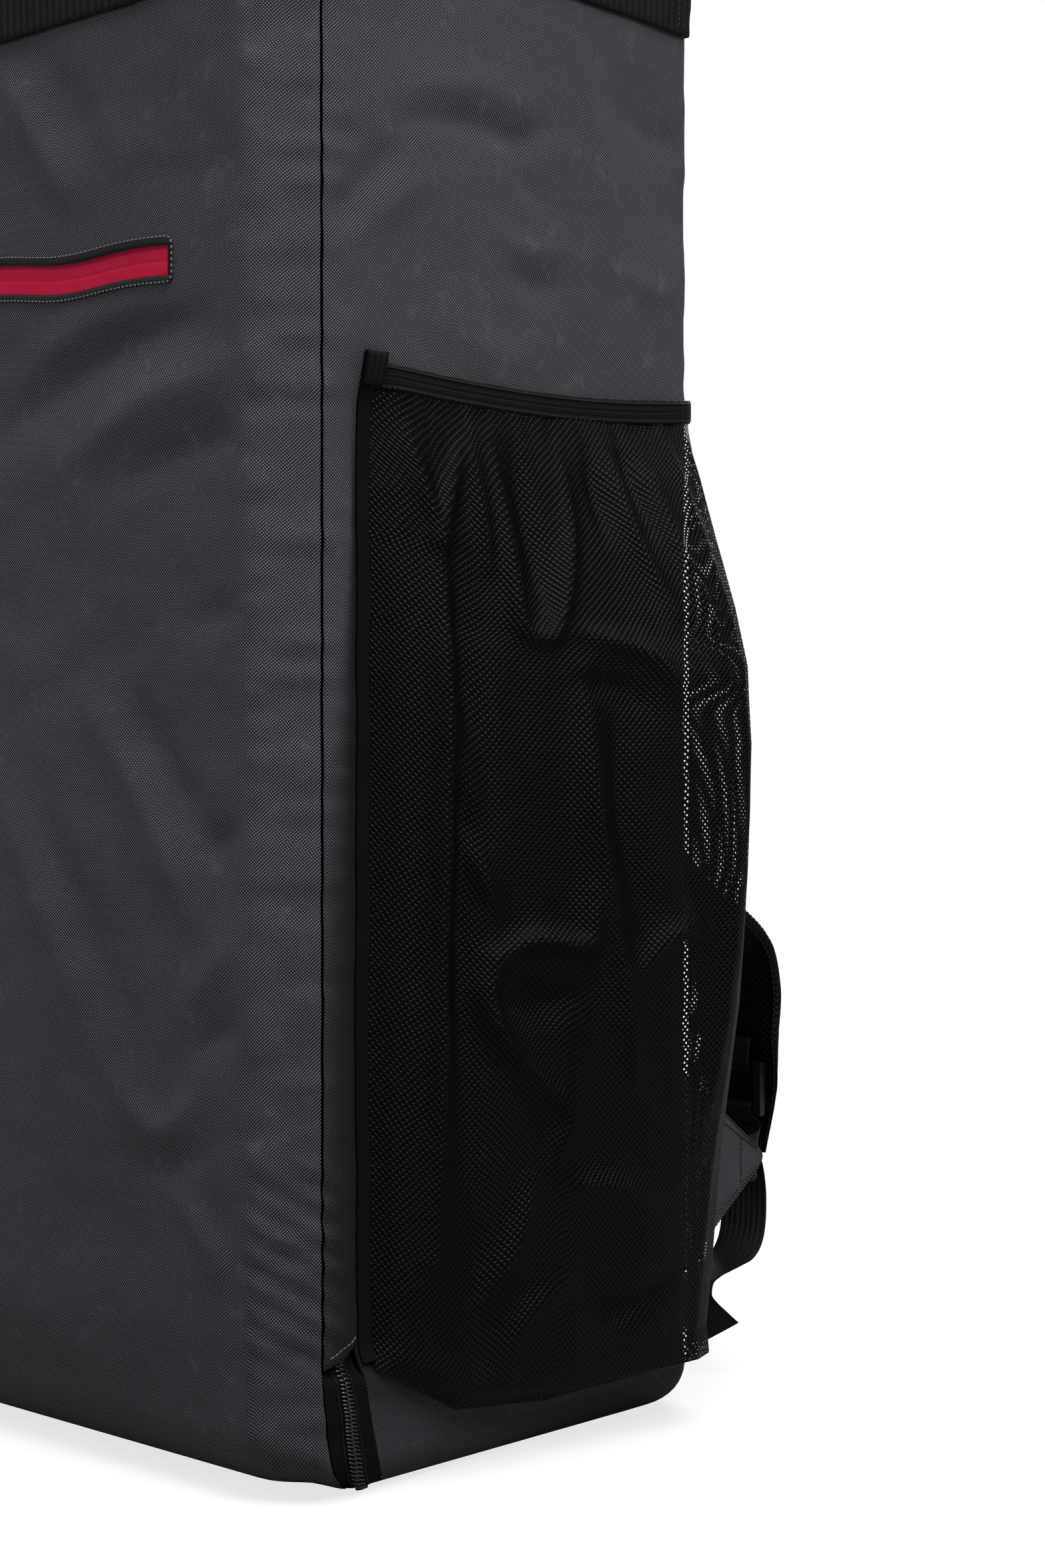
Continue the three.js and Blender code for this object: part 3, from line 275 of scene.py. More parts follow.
# Folds as lines over a face. Each path is in shares of the face's width and of its
# height, reach is how far the fold spreads and rise how high it stands, in millimetres.
FOLDS = {
    "front": [
        (((0.556, 0.601), (0.717, 0.633), (0.840, 0.650), (0.945, 0.653)), 17, -5.0),
        (((0.620, 0.635), (0.740, 0.665), (0.860, 0.671)), 15, 2.6),
        (((0.787, 0.570), (0.906, 0.581), (1.000, 0.590)), 12, -3.4),
        (((0.700, 0.579), (0.830, 0.609), (0.960, 0.622)), 13, 3.2),
        (((0.570, 0.820), (0.636, 0.779), (0.703, 0.730)), 12, 3.4),
        (((0.640, 0.832), (0.700, 0.792), (0.760, 0.747)), 13, -2.4),
        (((0.731, 0.442), (0.827, 0.387), (0.906, 0.325)), 12, 3.2),
        (((0.780, 0.460), (0.870, 0.406), (0.960, 0.351)), 12, -2.6),
        (((0.571, 0.386), (0.660, 0.320), (0.746, 0.245)), 15, 3.0),
        (((0.630, 0.396), (0.720, 0.326), (0.800, 0.262)), 14, -2.2),
        (((0.759, 0.232), (0.853, 0.202), (0.919, 0.222)), 9, 2.8),
        (((0.800, 0.188), (0.870, 0.180), (0.930, 0.196)), 9, -2.2),
        (((0.880, 0.167), (0.929, 0.144), (0.970, 0.123)), 8, 2.2),
        (((0.906, 0.272), (0.950, 0.295), (0.994, 0.315)), 9, 2.6),
        (((0.900, 0.245), (0.950, 0.257), (1.000, 0.269)), 9, -2.6),
        (((0.930, 0.361), (0.970, 0.368), (1.000, 0.374)), 10, -3.0),
        (((0.920, 0.485), (0.965, 0.492), (1.000, 0.497)), 11, -3.0),
        (((0.910, 0.718), (0.960, 0.721), (1.000, 0.725)), 12, -2.6),
        (((0.450, 0.544), (0.330, 0.485), (0.200, 0.445), (0.060, 0.430)), 20, -4.2),
        (((0.440, 0.604), (0.300, 0.564), (0.170, 0.549)), 18, 3.0),
        (((0.420, 0.396), (0.330, 0.316), (0.270, 0.217)), 16, 3.2),
        (((0.310, 0.832), (0.250, 0.782), (0.210, 0.723)), 13, 3.0),
        (((0.060, 0.257), (0.150, 0.222), (0.240, 0.202)), 12, -3.2),
        (((0.040, 0.683), (0.100, 0.643), (0.180, 0.624)), 13, -3.0),
        (((0.360, 0.158), (0.430, 0.128), (0.520, 0.133)), 14, -2.4),
    ],
    "side": [
        (((0.181, 0.766), (0.347, 0.773), (0.477, 0.770), (0.560, 0.782)), 8, -3.8),
        (((0.200, 0.787), (0.350, 0.794), (0.500, 0.792)), 10, 2.6),
        (((0.477, 0.770), (0.500, 0.747), (0.540, 0.737)), 7, -2.6),
        (((0.020, 0.705), (0.100, 0.730), (0.181, 0.754)), 10, -3.0),
        (((0.060, 0.693), (0.150, 0.718), (0.240, 0.737)), 10, 2.2),
        (((0.455, 0.693), (0.520, 0.687), (0.600, 0.689)), 9, -3.6),
        (((0.430, 0.711), (0.520, 0.708), (0.610, 0.712)), 9, 2.2),
        (((0.860, 0.854), (0.930, 0.859), (0.990, 0.851)), 7, -2.6),
        (((0.800, 0.802), (0.900, 0.792), (0.985, 0.799)), 9, -2.2),
        (((0.760, 0.708), (0.880, 0.700), (0.985, 0.703)), 9, 2.2),
        (((0.300, 0.658), (0.420, 0.643), (0.560, 0.653)), 12, 2.4),
        (((0.650, 0.832), (0.720, 0.782), (0.740, 0.723)), 11, 2.0),
        (((0.300, 0.524), (0.420, 0.445), (0.470, 0.346)), 15, -3.4),
        (((0.550, 0.307), (0.620, 0.227), (0.740, 0.168)), 14, 3.0),
        (((0.350, 0.113), (0.500, 0.093), (0.700, 0.100)), 11, -2.4),
    ],
    "back": [
        (((0.150, 0.861), (0.260, 0.802), (0.340, 0.742)), 14, -3.2),
        (((0.850, 0.841), (0.740, 0.792), (0.660, 0.737)), 14, -3.2),
        (((0.300, 0.524), (0.500, 0.505), (0.700, 0.529)), 17, -3.0),
        (((0.150, 0.386), (0.240, 0.307), (0.270, 0.207)), 15, 3.0),
        (((0.840, 0.376), (0.770, 0.297), (0.740, 0.198)), 15, 3.0),
        (((0.360, 0.183), (0.500, 0.168), (0.650, 0.183)), 13, -2.6),
        (((0.440, 0.901), (0.500, 0.841), (0.520, 0.782)), 12, 2.2),
    ],
    "net": [
        (((0.065, 0.960), (0.120, 0.852)), 5, 4.5),
        (((0.188, 0.950), (0.120, 0.852)), 5, 4.0),
        (((0.120, 0.852), (0.115, 0.731), (0.115, 0.464), (0.125, 0.133)), 7, 6.5),
        (((0.160, 0.840), (0.165, 0.700), (0.160, 0.500), (0.175, 0.240)), 8, -4.0),
        (((0.215, 0.960), (0.233, 0.840)), 6, 4.0),
        (((0.280, 0.970), (0.288, 0.872), (0.295, 0.786), (0.335, 0.770)), 6, 4.8),
        (((0.335, 0.770), (0.385, 0.782), (0.463, 0.878), (0.480, 0.970)), 6, 4.4),
        (((0.345, 0.960), (0.360, 0.870), (0.370, 0.810)), 8, -4.0),
        (((0.440, 0.779), (0.550, 0.768), (0.623, 0.750), (0.677, 0.709)), 7, 5.0),
        (((0.440, 0.730), (0.540, 0.725), (0.600, 0.700)), 9, -3.6),
        (((0.150, 0.698), (0.168, 0.640), (0.182, 0.591)), 6, 3.6),
        (((0.182, 0.562), (0.205, 0.530), (0.233, 0.502)), 6, 3.6),
        (((0.458, 0.519), (0.445, 0.471), (0.320, 0.472), (0.235, 0.450)), 7, 6.0),
        (((0.235, 0.450), (0.220, 0.412), (0.260, 0.369), (0.352, 0.333)), 7, 5.6),
        (((0.352, 0.333), (0.430, 0.302), (0.420, 0.250)), 7, 4.6),
        (((0.300, 0.430), (0.370, 0.410), (0.440, 0.425)), 11, -5.0),
        (((0.445, 0.741), (0.463, 0.593), (0.555, 0.421), (0.600, 0.330)), 9, 4.6),
        (((0.520, 0.700), (0.540, 0.580), (0.620, 0.480)), 10, -4.0),
        (((0.588, 0.434), (0.655, 0.471), (0.720, 0.480)), 7, 3.8),
        (((0.440, 0.228), (0.560, 0.222), (0.682, 0.202)), 8, 4.2),
        (((0.247, 0.116), (0.315, 0.176), (0.350, 0.230)), 7, 4.0),
        (((0.620, 0.970), (0.640, 0.880), (0.700, 0.800)), 7, 4.0),
        (((0.740, 0.970), (0.760, 0.860), (0.810, 0.760)), 7, 3.8),
        (((0.560, 0.960), (0.570, 0.880)), 7, -3.6),
        (((0.680, 0.970), (0.700, 0.890)), 7, -3.4),
        (((0.500, 0.120), (0.620, 0.090), (0.760, 0.110)), 9, -3.4),
        (((0.300, 0.050), (0.360, 0.100), (0.450, 0.130)), 8, 3.0),
        (((0.820, 0.640), (0.840, 0.450), (0.810, 0.250)), 10, 3.2),
    ],
}

# Loose waves of the cloth: height, how they slant with the other way, and the size of
# the bumps both ways, in millimetres
WAVES = {
    "walls": ((1.5, 0.3, 0, 95, 70), (0.8, -0.5, 0.2, 38, 30), (0.34, 0.7, -0.3, 19, 13)),
    "strip": ((1.0, 0, 0, 34, 9), (0.6, 0, 0, 40, 27)),
    "net": ((1.4, 0.2, 0, 34, 90), (0.6, 0, 0.4, 15, 38)),
    "top": ((1.6, 0, 0, 60, 45), (0.6, 1, -1, 24, 20)),
    "under": ((0.45, 0, 0, 50, 40),),
}

# How the net stands off the side, by share of its height and of its width
BULGE_UP = table(
    "up out",
    (0, 0.03), (0.022, 0.44), (0.05, 0.39), (0.11, 0.45), (0.26, 0.58), (0.39, 0.75),
    (0.53, 0.84), (0.66, 0.89), (0.74, 0.85), (0.8, 0.71), (0.87, 0.5), (0.94, 0.3), (1, 0.08),
)
BULGE_ACROSS = table(
    "across out",
    (0, 0), (0.05, 0.1), (0.14, 0.26), (0.3, 0.44), (0.5, 0.64), (0.66, 0.83),
    (0.79, 0.96), (0.87, 1), (0.94, 0.84), (0.98, 0.45), (1, 0.01),
)
NET_FOOT = table("across drop", (0, 0), (0.07, 0.28), (0.22, 0.8), (0.5, 1), (1, 1))

# The right shoulder pad and the free tail of its webbing: how far each row stands off
# the back (share of the side's depth), how far it lies from the middle (share of half
# the width), its height (share of the bag's height), and its width and thickness as
# shares of the pad's, or the tail's turn in degrees
PAD_ROUTE = table(
    "off across up width thick",
    (0.030, 0.315, 0.693, 1.00, 0.45),
    (0.046, 0.325, 0.658, 1.00, 1.00),
    (0.062, 0.385, 0.599, 1.00, 1.00),
    (0.072, 0.500, 0.520, 1.00, 1.00),
    (0.070, 0.635, 0.445, 1.00, 1.00),
    (0.066, 0.745, 0.386, 0.98, 1.00),
    (0.092, 0.785, 0.352, 0.96, 1.00),
    (0.206, 0.789, 0.321, 0.95, 1.00),
    (0.314, 0.789, 0.303, 1.00, 1.00),
    (0.387, 0.789, 0.282, 1.05, 1.00),
    (0.416, 0.789, 0.252, 1.04, 1.00),
    (0.417, 0.789, 0.222, 0.98, 0.95),
    (0.408, 0.789, 0.204, 0.66, 0.80),
)
# The pad's thin sewn end, which hangs behind the lock
PAD_TONGUE = table(
    "off across up width thick",
    (0.428, 0.789, 0.198, 0.90, 0.34),
    (0.433, 0.789, 0.186, 0.86, 0.28),
    (0.434, 0.789, 0.172, 0.78, 0.26),
    (0.436, 0.789, 0.156, 0.66, 0.24),
    (0.438, 0.791, 0.140, 0.52, 0.22),
)
TAIL_ROUTE = table(
    "off across up turn",
    (0.420, 0.789, 0.152, 0),
    (0.428, 0.794, 0.126, 0),
    (0.424, 0.800, 0.101, 1),
    (0.405, 0.806, 0.082, 3),
    (0.360, 0.812, 0.071, 5),
    (0.285, 0.819, 0.066, 8),
    (0.217, 0.826, 0.061, 12),
    (0.203, 0.831, 0.049, 18),
    (0.250, 0.835, 0.035, 24),
    (0.296, 0.836, 0.024, 28),
)


def smooth(share):
    """A soft step from 0 to 1."""
    held = np.clip(share, 0.0, 1.0)
    return held * held * (3.0 - 2.0 * held)


def spread(start, end, count):
    """Even places over a number of steps."""
    return np.linspace(start, end, count + 1)


def wrapped(around):
    """The same place on the outline, between the two ends at the back's middle."""
    return (around + BACK_MIDDLE_AT) % (2 * BACK_MIDDLE_AT) - BACK_MIDDLE_AT


def ripple(u, v, cell_u, cell_v, seed):
    """Smooth random height between -1 and 1, with bumps of the given size."""
    lattice = np.random.default_rng(seed).uniform(-1, 1, (64, 64))
    a, b = u / cell_u, v / cell_v
    low_a, low_b = np.floor(a), np.floor(b)
    part_a, part_b = smooth(a - low_a), smooth(b - low_b)
    i, j = low_a.astype(int) % 64, low_b.astype(int) % 64
    near, far = (i + 1) % 64, (j + 1) % 64
    low = lattice[i, j] * (1 - part_a) + lattice[near, j] * part_a
    high = lattice[i, far] * (1 - part_a) + lattice[near, far] * part_a
    return low * (1 - part_b) + high * part_b


def waves(kind, u, v, seed):
    """The sum of one kind of loose waves, in millimetres."""
    total = 0
    for step, (rise, slant_u, slant_v, cell_u, cell_v) in enumerate(WAVES[kind]):
        total = total + rise * ripple(u + slant_u * v, v + slant_v * u, cell_u, cell_v, seed + step)
    return total


def rounded_path(points, count=26):
    """A smooth line through a few points."""
    points = np.asarray(points, float)
    padded = np.vstack([2 * points[0] - points[1], points, 2 * points[-1] - points[-2]])
    steps = np.linspace(0, len(points) - 1, count)
    low = np.minimum(steps.astype(int), len(points) - 2)
    t = (steps - low)[:, None]
    a, b, c, d = (padded[low + k] for k in range(4))
    bend = (2 * a - 5 * b + 4 * c - d) * t ** 2 + (3 * b - a - 3 * c + d) * t ** 3
    return (2 * b + (c - a) * t + bend) / 2


def fold_height(face, across, up):
    """The sum of a face's folds, in millimetres, at shares of its width and height."""
    size = np.array([LENGTHS[face], BAG_HEIGHT if face != "net" else POCKET_TOP])
    place = np.stack([across * size[0], up * size[1]], -1)
    total = np.zeros(across.shape)
    for path, reach, rise in FOLDS[face]:
        line = rounded_path(np.array(path) * size)
        low, high = line.min(0) - 2.6 * reach, line.max(0) + 2.6 * reach
        here = ((place > low) & (place < high)).all(-1)
        spot = place[here]
        nearest = np.full(len(spot), 1e9)
        along = np.zeros(len(spot))
        for step in range(len(line) - 1):
            span = line[step + 1] - line[step]
            part = np.clip(((spot - line[step]) @ span) / (span @ span), 0, 1)
            away = np.linalg.norm(spot - line[step] - part[:, None] * span, axis=-1)
            closer = away < nearest
            nearest = np.where(closer, away, nearest)
            along = np.where(closer, (step + part) / (len(line) - 1), along)
        ends = 0.25 + 0.75 * np.sin(np.pi * np.clip(along, 0.02, 0.98)) ** 0.7
        total[here] += rise * ends * np.exp(-((nearest / reach) ** 1.6))
    return total


def strap_foot(around):
    """The height of the lower edge of the strap round the top."""
    start = 0.6 * CREASE_AT
    share = (np.abs(around) - start) / (SEAM_AT - start)
    return STRAP_FOOT_FRONT + (STRAP_FOOT_SIDE - STRAP_FOOT_FRONT) * smooth(share)


def relief(around, z):
    """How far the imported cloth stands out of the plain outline."""
    around = wrapped(around)
    place = np.abs(around)
    left = around < 0
    from_strap = (z - strap_foot(around) - STRAP_WIDTH / 2) / STRAP_WIDTH
    strap_hold = 1 - 0.75 * np.exp(-(from_strap ** 4))
    window_hold = 1 - np.exp(-(((z - WINDOW_MIDDLE) / (1.7 * WINDOW_HEIGHT)) ** 4))
    ends = smooth(z / EDGE_FADE - 0.6) * smooth((WALL_TOP - z) / EDGE_FADE - 0.6)
    low_ends = smooth(z / 30 - 0.2) * smooth((WALL_TOP - z) / 40 - 0.4)

    front = (around + CREASE_AT) / LENGTHS["front"]
    on_front = place < CREASE_AT
    side = (place - SEAM_AT) / SIDE_DEPTH
    on_side = (place > SEAM_AT) & (place < BACK_CORNER_AT)
    back = (np.where(left, -1, 1) * (BACK_MIDDLE_AT - place) + HALF_WIDTH) / BAG_WIDTH
    on_back = place >= BACK_CORNER_AT
    up = z / BAG_HEIGHT

    total = np.zeros(np.broadcast(around, z).shape)
    # Face, where it is, place across, swell, hold and how deep its folds are
    faces = (
        ("front", on_front, front, FRONT_SWELL, window_hold, 1.35),
        ("side", on_side, side, SIDE_SWELL, 1.0, 0.95),
        ("back", on_back, back, BACK_SWELL, 1.0, 1.35),
    )
    for face, here, across, swell, hold, depth in faces:
        across = np.clip(across, 0, 1) + 0 * total
        edge = smooth(across * (1 - across) / 0.05)
        u = across * LENGTHS[face] + np.where(left, 700.0, 0.0) * (face == "side")
        slack = waves("walls", u, z, SEEDS[face])
        bulge = swell * 4 * across * (1 - across)
        loose = depth * (fold_height(face, across, up + 0 * across) + 0.8 * slack)
        push = ends * bulge + low_ends * hold * strap_hold * loose * edge
        total = np.where(here, push, total)
    return total + seam_puckers(around, z) * low_ends


def valley(around, z):
    """The hollow in the side cloth where the net pocket's front edge is sewn down."""
    beside = smooth((POCKET_TOP + 12 - z) / 40) * smooth((z - 60) / 25) * (around > 0)
    from_edge = np.abs(around) - POCKET_FRONT_AT - 5
    return -VALLEY_DEPTH * beside * np.exp(-((from_edge / VALLEY_REACH) ** 2))


def seam_puckers(around, z):
    """Small creases that run into the corner seams."""
    place = np.abs(around)
    seed = SEEDS["seams"]
    from_back = place - BACK_CORNER_AT
    on_strip = smooth((place - CREASE_AT + 10) / 14) * smooth((SEAM_AT + 34 - place) / 24)
    strip = waves("strip", place, z, seed)
    ladder_here = smooth((LADDER_TOP - z) / 30) * smooth((z - LADDER_FOOT) / 20)
    slanted = z + LADDER_SLANT * (place - SEAM_AT)
    ladder = LADDER_RISE * np.sin(2 * np.pi * slanted / LADDER_PITCH)
    seam = -SEAM_HOLLOW * np.exp(-(((place - SEAM_AT) / 2.6) ** 2))
    near_crease = CREASE_RISE * np.exp(-(((place - CREASE_AT) / 9) ** 2))
    crease = near_crease * ripple(place * 0.3, z, 20, 13, seed + 3)
    back_seam = -0.9 * np.exp(-((from_back / 1.8) ** 2))
    near_back = 0.8 * np.exp(-((from_back / 14) ** 2))
    pull = near_back * ripple(place * 0.4, z, 20, 13, seed + 2)
    sewn = on_strip * (strip + ladder * ladder_here)
    return sewn + seam + crease + valley(around, z) + back_seam + pull


def curl_height(around):
    """The height at which the curl under the bag ends."""
    return np.interp(np.abs(wrapped(around)), CURL_HEIGHTS["around"], CURL_HEIGHTS["height"])


def wall_profile(around, level):
    """The walls' tuck and height at a level from 0, under the bag, to 1, over its top."""
    curl = curl_height(around) + 0 * level
    low = np.clip(level / CURL_SHARE, 0, 1) * np.pi / 2
    high = np.clip((level - 1 + CURL_SHARE) / CURL_SHARE, 0, 1) * np.pi / 2
    share = np.clip((level - CURL_SHARE) / (1 - 2 * CURL_SHARE), 0, 1)
    straight = curl + (WALL_TOP - TOP_CURL - curl) * share
    z = np.where(level < CURL_SHARE, curl * (1 - np.cos(low)), straight)
    z = np.where(level > 1 - CURL_SHARE, WALL_TOP - TOP_CURL * (1 - np.sin(high)), z)
    return 1 - np.sin(low), 1 - np.cos(high), z


def level_at(around, z):
    """The level of the walls at a height, under their top curl."""
    curl = curl_height(around) + 0 * z
    low = CURL_SHARE * np.arccos(np.clip(1 - z / curl, -1, 1)) / (np.pi / 2)
    straight = CURL_SHARE + (z - curl) / (WALL_TOP - TOP_CURL - curl) * (1 - 2 * CURL_SHARE)
    return np.where(z < curl, low, straight)


def lift_at(y):
    """How far the underside rises towards the front."""
    start = HALF_DEPTH - CURL_FRONT - FRONT_LIFT_REACH
    return FRONT_LIFT * smooth((-y - start) / FRONT_LIFT_REACH)


def skin(around, level):
    """The bag's outer surface, in millimetres."""
    around, level = np.broadcast_arrays(np.asarray(around, float), np.asarray(level, float))
    near = wrapped(around)
    place, side = np.abs(near), np.where(near < 0, -1.0, 1.0)
    under, over, z = wall_profile(around, level)
    past = place - SEAM_AT
    flare = ZIP_FLARE * smooth((past - ZIP_FLARE_FROM) / ZIP_FLARE_REACH)
    lean = (ZIP_LEAN + flare) * smooth(1 - z / ZIP_LEAN_TOP)
    aside = np.where(past < 0, 1, ZIP_LEAN_ASIDE)
    place = place + lean * np.exp(-((past / aside / ZIP_LEAN_REACH) ** 2))
    plan_x = side * np.interp(place, OUTLINE["around"], OUTLINE["x"])
    plan_y = np.interp(place, OUTLINE["around"], OUTLINE["y"])
    turn = np.radians(np.interp(place, OUTLINE["around"], OUTLINE["turn"]))
    under_depth = np.where(plan_y < 0, CURL_FRONT, CURL_BACK)
    push = relief(around, z)
    x = plan_x * (1 - (under * CURL_SIDE + over * TOP_CURL) / HALF_WIDTH)
    y = plan_y * (1 - (under * under_depth + over * TOP_CURL) / HALF_DEPTH)
    x = x + side * np.sin(turn) * push
    y = y - np.cos(turn) * push
    lift = lift_at(y) * smooth(1 - z / (2 * CURL_FRONT))
    return np.stack([x, y, z + lift], -1)


def off_skin(around, level, distance):
    """Points at a distance outside the bag's surface."""
    reach, rise = 2.0, 0.002
    around, level = np.broadcast_arrays(np.asarray(around, float), np.asarray(level, float))
    along = skin(around + reach, level) - skin(around - reach, level)
    upward = skin(around, np.minimum(level + rise, 1)) - skin(around, np.maximum(level - rise, 0))
    normal = np.cross(along, upward)
    normal /= np.linalg.norm(normal, axis=-1, keepdims=True)
    return skin(around, level) + normal * np.asarray(distance)[..., None]


def lines(start, end, step):
    """Places from start to end, closer together at both ends."""
    count = max(2, int((end - start - 2 * EDGE_REACH) / step) + 1)
    middle = np.linspace(start + EDGE_REACH, end - EDGE_REACH, count)
    return np.concatenate([start + EDGE_ROWS, middle, end - EDGE_ROWS[::-1]])


def wall_levels(around, step, marks=()):
    """Rows of levels over the wall at each place, with rows on the marked heights."""
    ends = [curl_height(around), *marks, WALL_TOP - TOP_CURL + 0 * around]
    parts = []
    for low, high in zip(ends, ends[1:]):
        count = max(3, int(np.max(high - low) / step))
        shares = np.linspace(0, 1, count + 1)[:-1]
        parts.append(low[:, None] + (high - low)[:, None] * shares)
    heights = np.concatenate([*parts, ends[-1][:, None]], 1)
    wall = level_at(around[:, None], heights)
    wall[:, 0], wall[:, -1] = CURL_SHARE, 1 - CURL_SHARE
    column = np.ones((len(around), 1))
    under = column * spread(0, CURL_SHARE, CURL_ROWS)[:-1]
    over = column * spread(1 - CURL_SHARE, 1, CURL_ROWS)[1:]
    return np.concatenate([under, wall, over], 1)


# Meshes
def arcs(points, axis):
    """Lengths along a grid from its middle line."""
    steps = np.linalg.norm(np.diff(points, axis=axis), axis=-1)
    zero = np.zeros_like(np.take(steps, [0], axis))
    total = np.concatenate([zero, np.cumsum(steps, axis)], axis)
    return total - np.take(total, [points.shape[axis] // 2], axis)


def grid_normals(points):
    """Directions out of a grid."""
    along, upward = np.gradient(points, axis=0), np.gradient(points, axis=1)
    normal = np.cross(along, upward)
    return normal / np.maximum(np.linalg.norm(normal, axis=-1, keepdims=True), 1e-9)


def hemmed(points, drop):
    """The grid with its edges turned in, as a folded hem."""
    inward = points - grid_normals(points) * drop
    tall = np.concatenate([inward[:, :1], points, inward[:, -1:]], 1)
    sides = np.concatenate([inward[:, :1], inward, inward[:, -1:]], 1)
    return np.concatenate([sides[:1], tall, sides[-1:]], 0)


def hemmed_values(values):
    """A grid's values with their edges repeated, for the folded hem."""
    tall = np.concatenate([values[:, :1], values, values[:, -1:]], 1)
    return np.concatenate([tall[:1], tall, tall[-1:]], 0)


def make_mesh(name, points, faces, finish, uv=None):
    """A smooth-shaded piece from points in millimetres, riding on the bag."""
    mesh = bpy.data.meshes.new(name)
    mesh.from_pydata((points * MM).tolist(), [], faces)
    mesh.update()
    mesh.polygons.foreach_set("use_smooth", [True] * len(mesh.polygons))
    if uv is not None:
        corner = np.empty(len(mesh.loops), int)
        mesh.loops.foreach_get("vertex_index", corner)
        layer = mesh.uv_layers.new(name="Threads")
        layer.uv.foreach_set("vector", uv[corner].astype(np.float32).ravel())
    mesh.materials.append(finish)
    piece = bpy.data.objects.new(name, mesh)
    bpy.context.scene.collection.objects.link(piece)
    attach(piece, "root")
    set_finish(piece, SLOTS[finish.name])
    return piece


def grid_faces(columns, rows, closed=False, skip=None):
    """Four-sided faces of a grid, without those to skip."""
    faces = []
    for column in range(columns if closed else columns - 1):
        after = (column + 1) % columns
        for row in range(rows - 1):
            if skip is None or not skip[column, row]:
                a, b = column * rows + row, after * rows + row
                faces.append((a, b, b + 1, a + 1))
    return faces


def grid_piece(name, points, finish, skip=None, turn=False):
    """A cloth piece from a grid of points whose columns run up the piece."""
    columns, rows = points.shape[:2]
    uv = np.stack([arcs(points, 0), arcs(points, 1)], -1).reshape(-1, 2)
    faces = grid_faces(columns, rows, skip=skip)
    if turn:
        faces = [face[::-1] for face in faces]
    return make_mesh(name, points.reshape(-1, 3), faces, finish, uv)


def flat_size(points):
    """A grid's width and length laid flat, and its area, in metres."""
    width = np.linalg.norm(np.diff(points, axis=0), axis=-1).sum(0).max() * MM
    length = np.linalg.norm(np.diff(points, axis=1), axis=-1).sum(1).max() * MM
    a, b = points[1:, :-1] - points[:-1, :-1], points[:-1, 1:] - points[:-1, :-1]
    c, d = points[:-1, 1:] - points[1:, 1:], points[1:, :-1] - points[1:, 1:]
    area = (np.linalg.norm(np.cross(a, b), axis=-1) + np.linalg.norm(np.cross(c, d), axis=-1)) / 2
    return (round(float(width), 4), round(float(length), 4)), float(area.sum()) * MM * MM


def declare_sheet(points, cut_out=0.0):
    """Works out a sheet's flat size and area from its grid, less a cut-out; the values are not
    kept.
    """
    flat, area = flat_size(points)
    area = min(area - cut_out, flat[0] * flat[1])


def cloth_piece(name, points, finish, rests_on, *nodes, held="stretched", cut_out=0.0, **drawn):
    """A sheet from a grid of points, which takes the place of some CAD pieces."""
    piece = grid_piece(name, points, finish, **drawn)
    declare_sheet(points, cut_out)
    for node in nodes:
        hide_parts(node)


def tube_piece(name, sections, finish):
    """A closed piece through sections of equal point counts, for pads and webbing."""
    steps, count = sections.shape[:2]
    girth = np.linalg.norm(np.roll(sections, -1, 1) - sections, axis=-1).mean(0)
    u = np.concatenate([[0], np.cumsum(girth)[:-1]]) + np.zeros((steps, 1))
    centre = sections.mean(1)
    run = np.concatenate([[0], np.cumsum(np.linalg.norm(np.diff(centre, axis=0), axis=-1))])
    v = run[:, None] + np.zeros((1, count))
    points = sections.reshape(-1, 3)
    faces = []
    for step in range(steps - 1):
        for corner in range(count):
            after = (corner + 1) % count
            a, b = step * count + corner, step * count + after
            faces.append((a, b, b + count, a + count))
    faces.append(tuple(range(count))[::-1])
    faces.append(tuple(range((steps - 1) * count, steps * count)))
    uv = np.stack([u, v], -1).reshape(-1, 2)
    piece = make_mesh(name, points, faces, finish, uv)
    turn_outwards(piece)
    return piece


def turn_outwards(piece):
    """Turns a closed piece's faces outwards."""
    shape = bmesh.new()
    shape.from_mesh(piece.data)
    bmesh.ops.recalc_face_normals(shape, faces=shape.faces)
    shape.to_mesh(piece.data)
    shape.free()


# Shader helpers
def feed(tree, socket, value):
    """Links another node's value to a socket, or sets the socket itself."""
    if isinstance(value, bpy.types.NodeSocket):
        tree.links.new(value, socket)
    else:
        socket.default_value = value


def maths(tree, operation, *values, clamp=False):
    node = tree.nodes.new("ShaderNodeMath")
    node.operation = operation
    node.use_clamp = clamp
    for socket, value in zip(node.inputs, values):
        feed(tree, socket, value)
    return node.outputs[0]


def blend_colour(tree, share, first, second):
    node = tree.nodes.new("ShaderNodeMix")
    node.data_type = "RGBA"
    feed(tree, node.inputs["Factor"], share)
    feed(tree, node.inputs["A"], first)
    feed(tree, node.inputs["B"], second)
    return node.outputs["Result"]


def ranged(tree, value, low, high):
    """A value between 0 and 1 brought between two limits."""
    node = tree.nodes.new("ShaderNodeMapRange")
    feed(tree, node.inputs["Value"], value)
    node.inputs["To Min"].default_value = low
    node.inputs["To Max"].default_value = high
    return node.outputs["Result"]


def faded(tree, value, start, end, low=0.0, high=1.0):
    """A soft step from low at the start to high at the end."""
    node = tree.nodes.new("ShaderNodeMapRange")
    node.interpolation_type = "SMOOTHSTEP"
    for label, given in (("Value", value), ("From Min", start), ("From Max", end)):
        feed(tree, node.inputs[label], given)
    node.inputs["To Min"].default_value = low
    node.inputs["To Max"].default_value = high
    return node.outputs["Result"]


def noise(tree, place, scale, detail=3.0):
    node = tree.nodes.new("ShaderNodeTexNoise")
    feed(tree, node.inputs["Vector"], place)
    node.inputs["Scale"].default_value = scale
    node.inputs["Detail"].default_value = detail
    return node.outputs["Fac"]


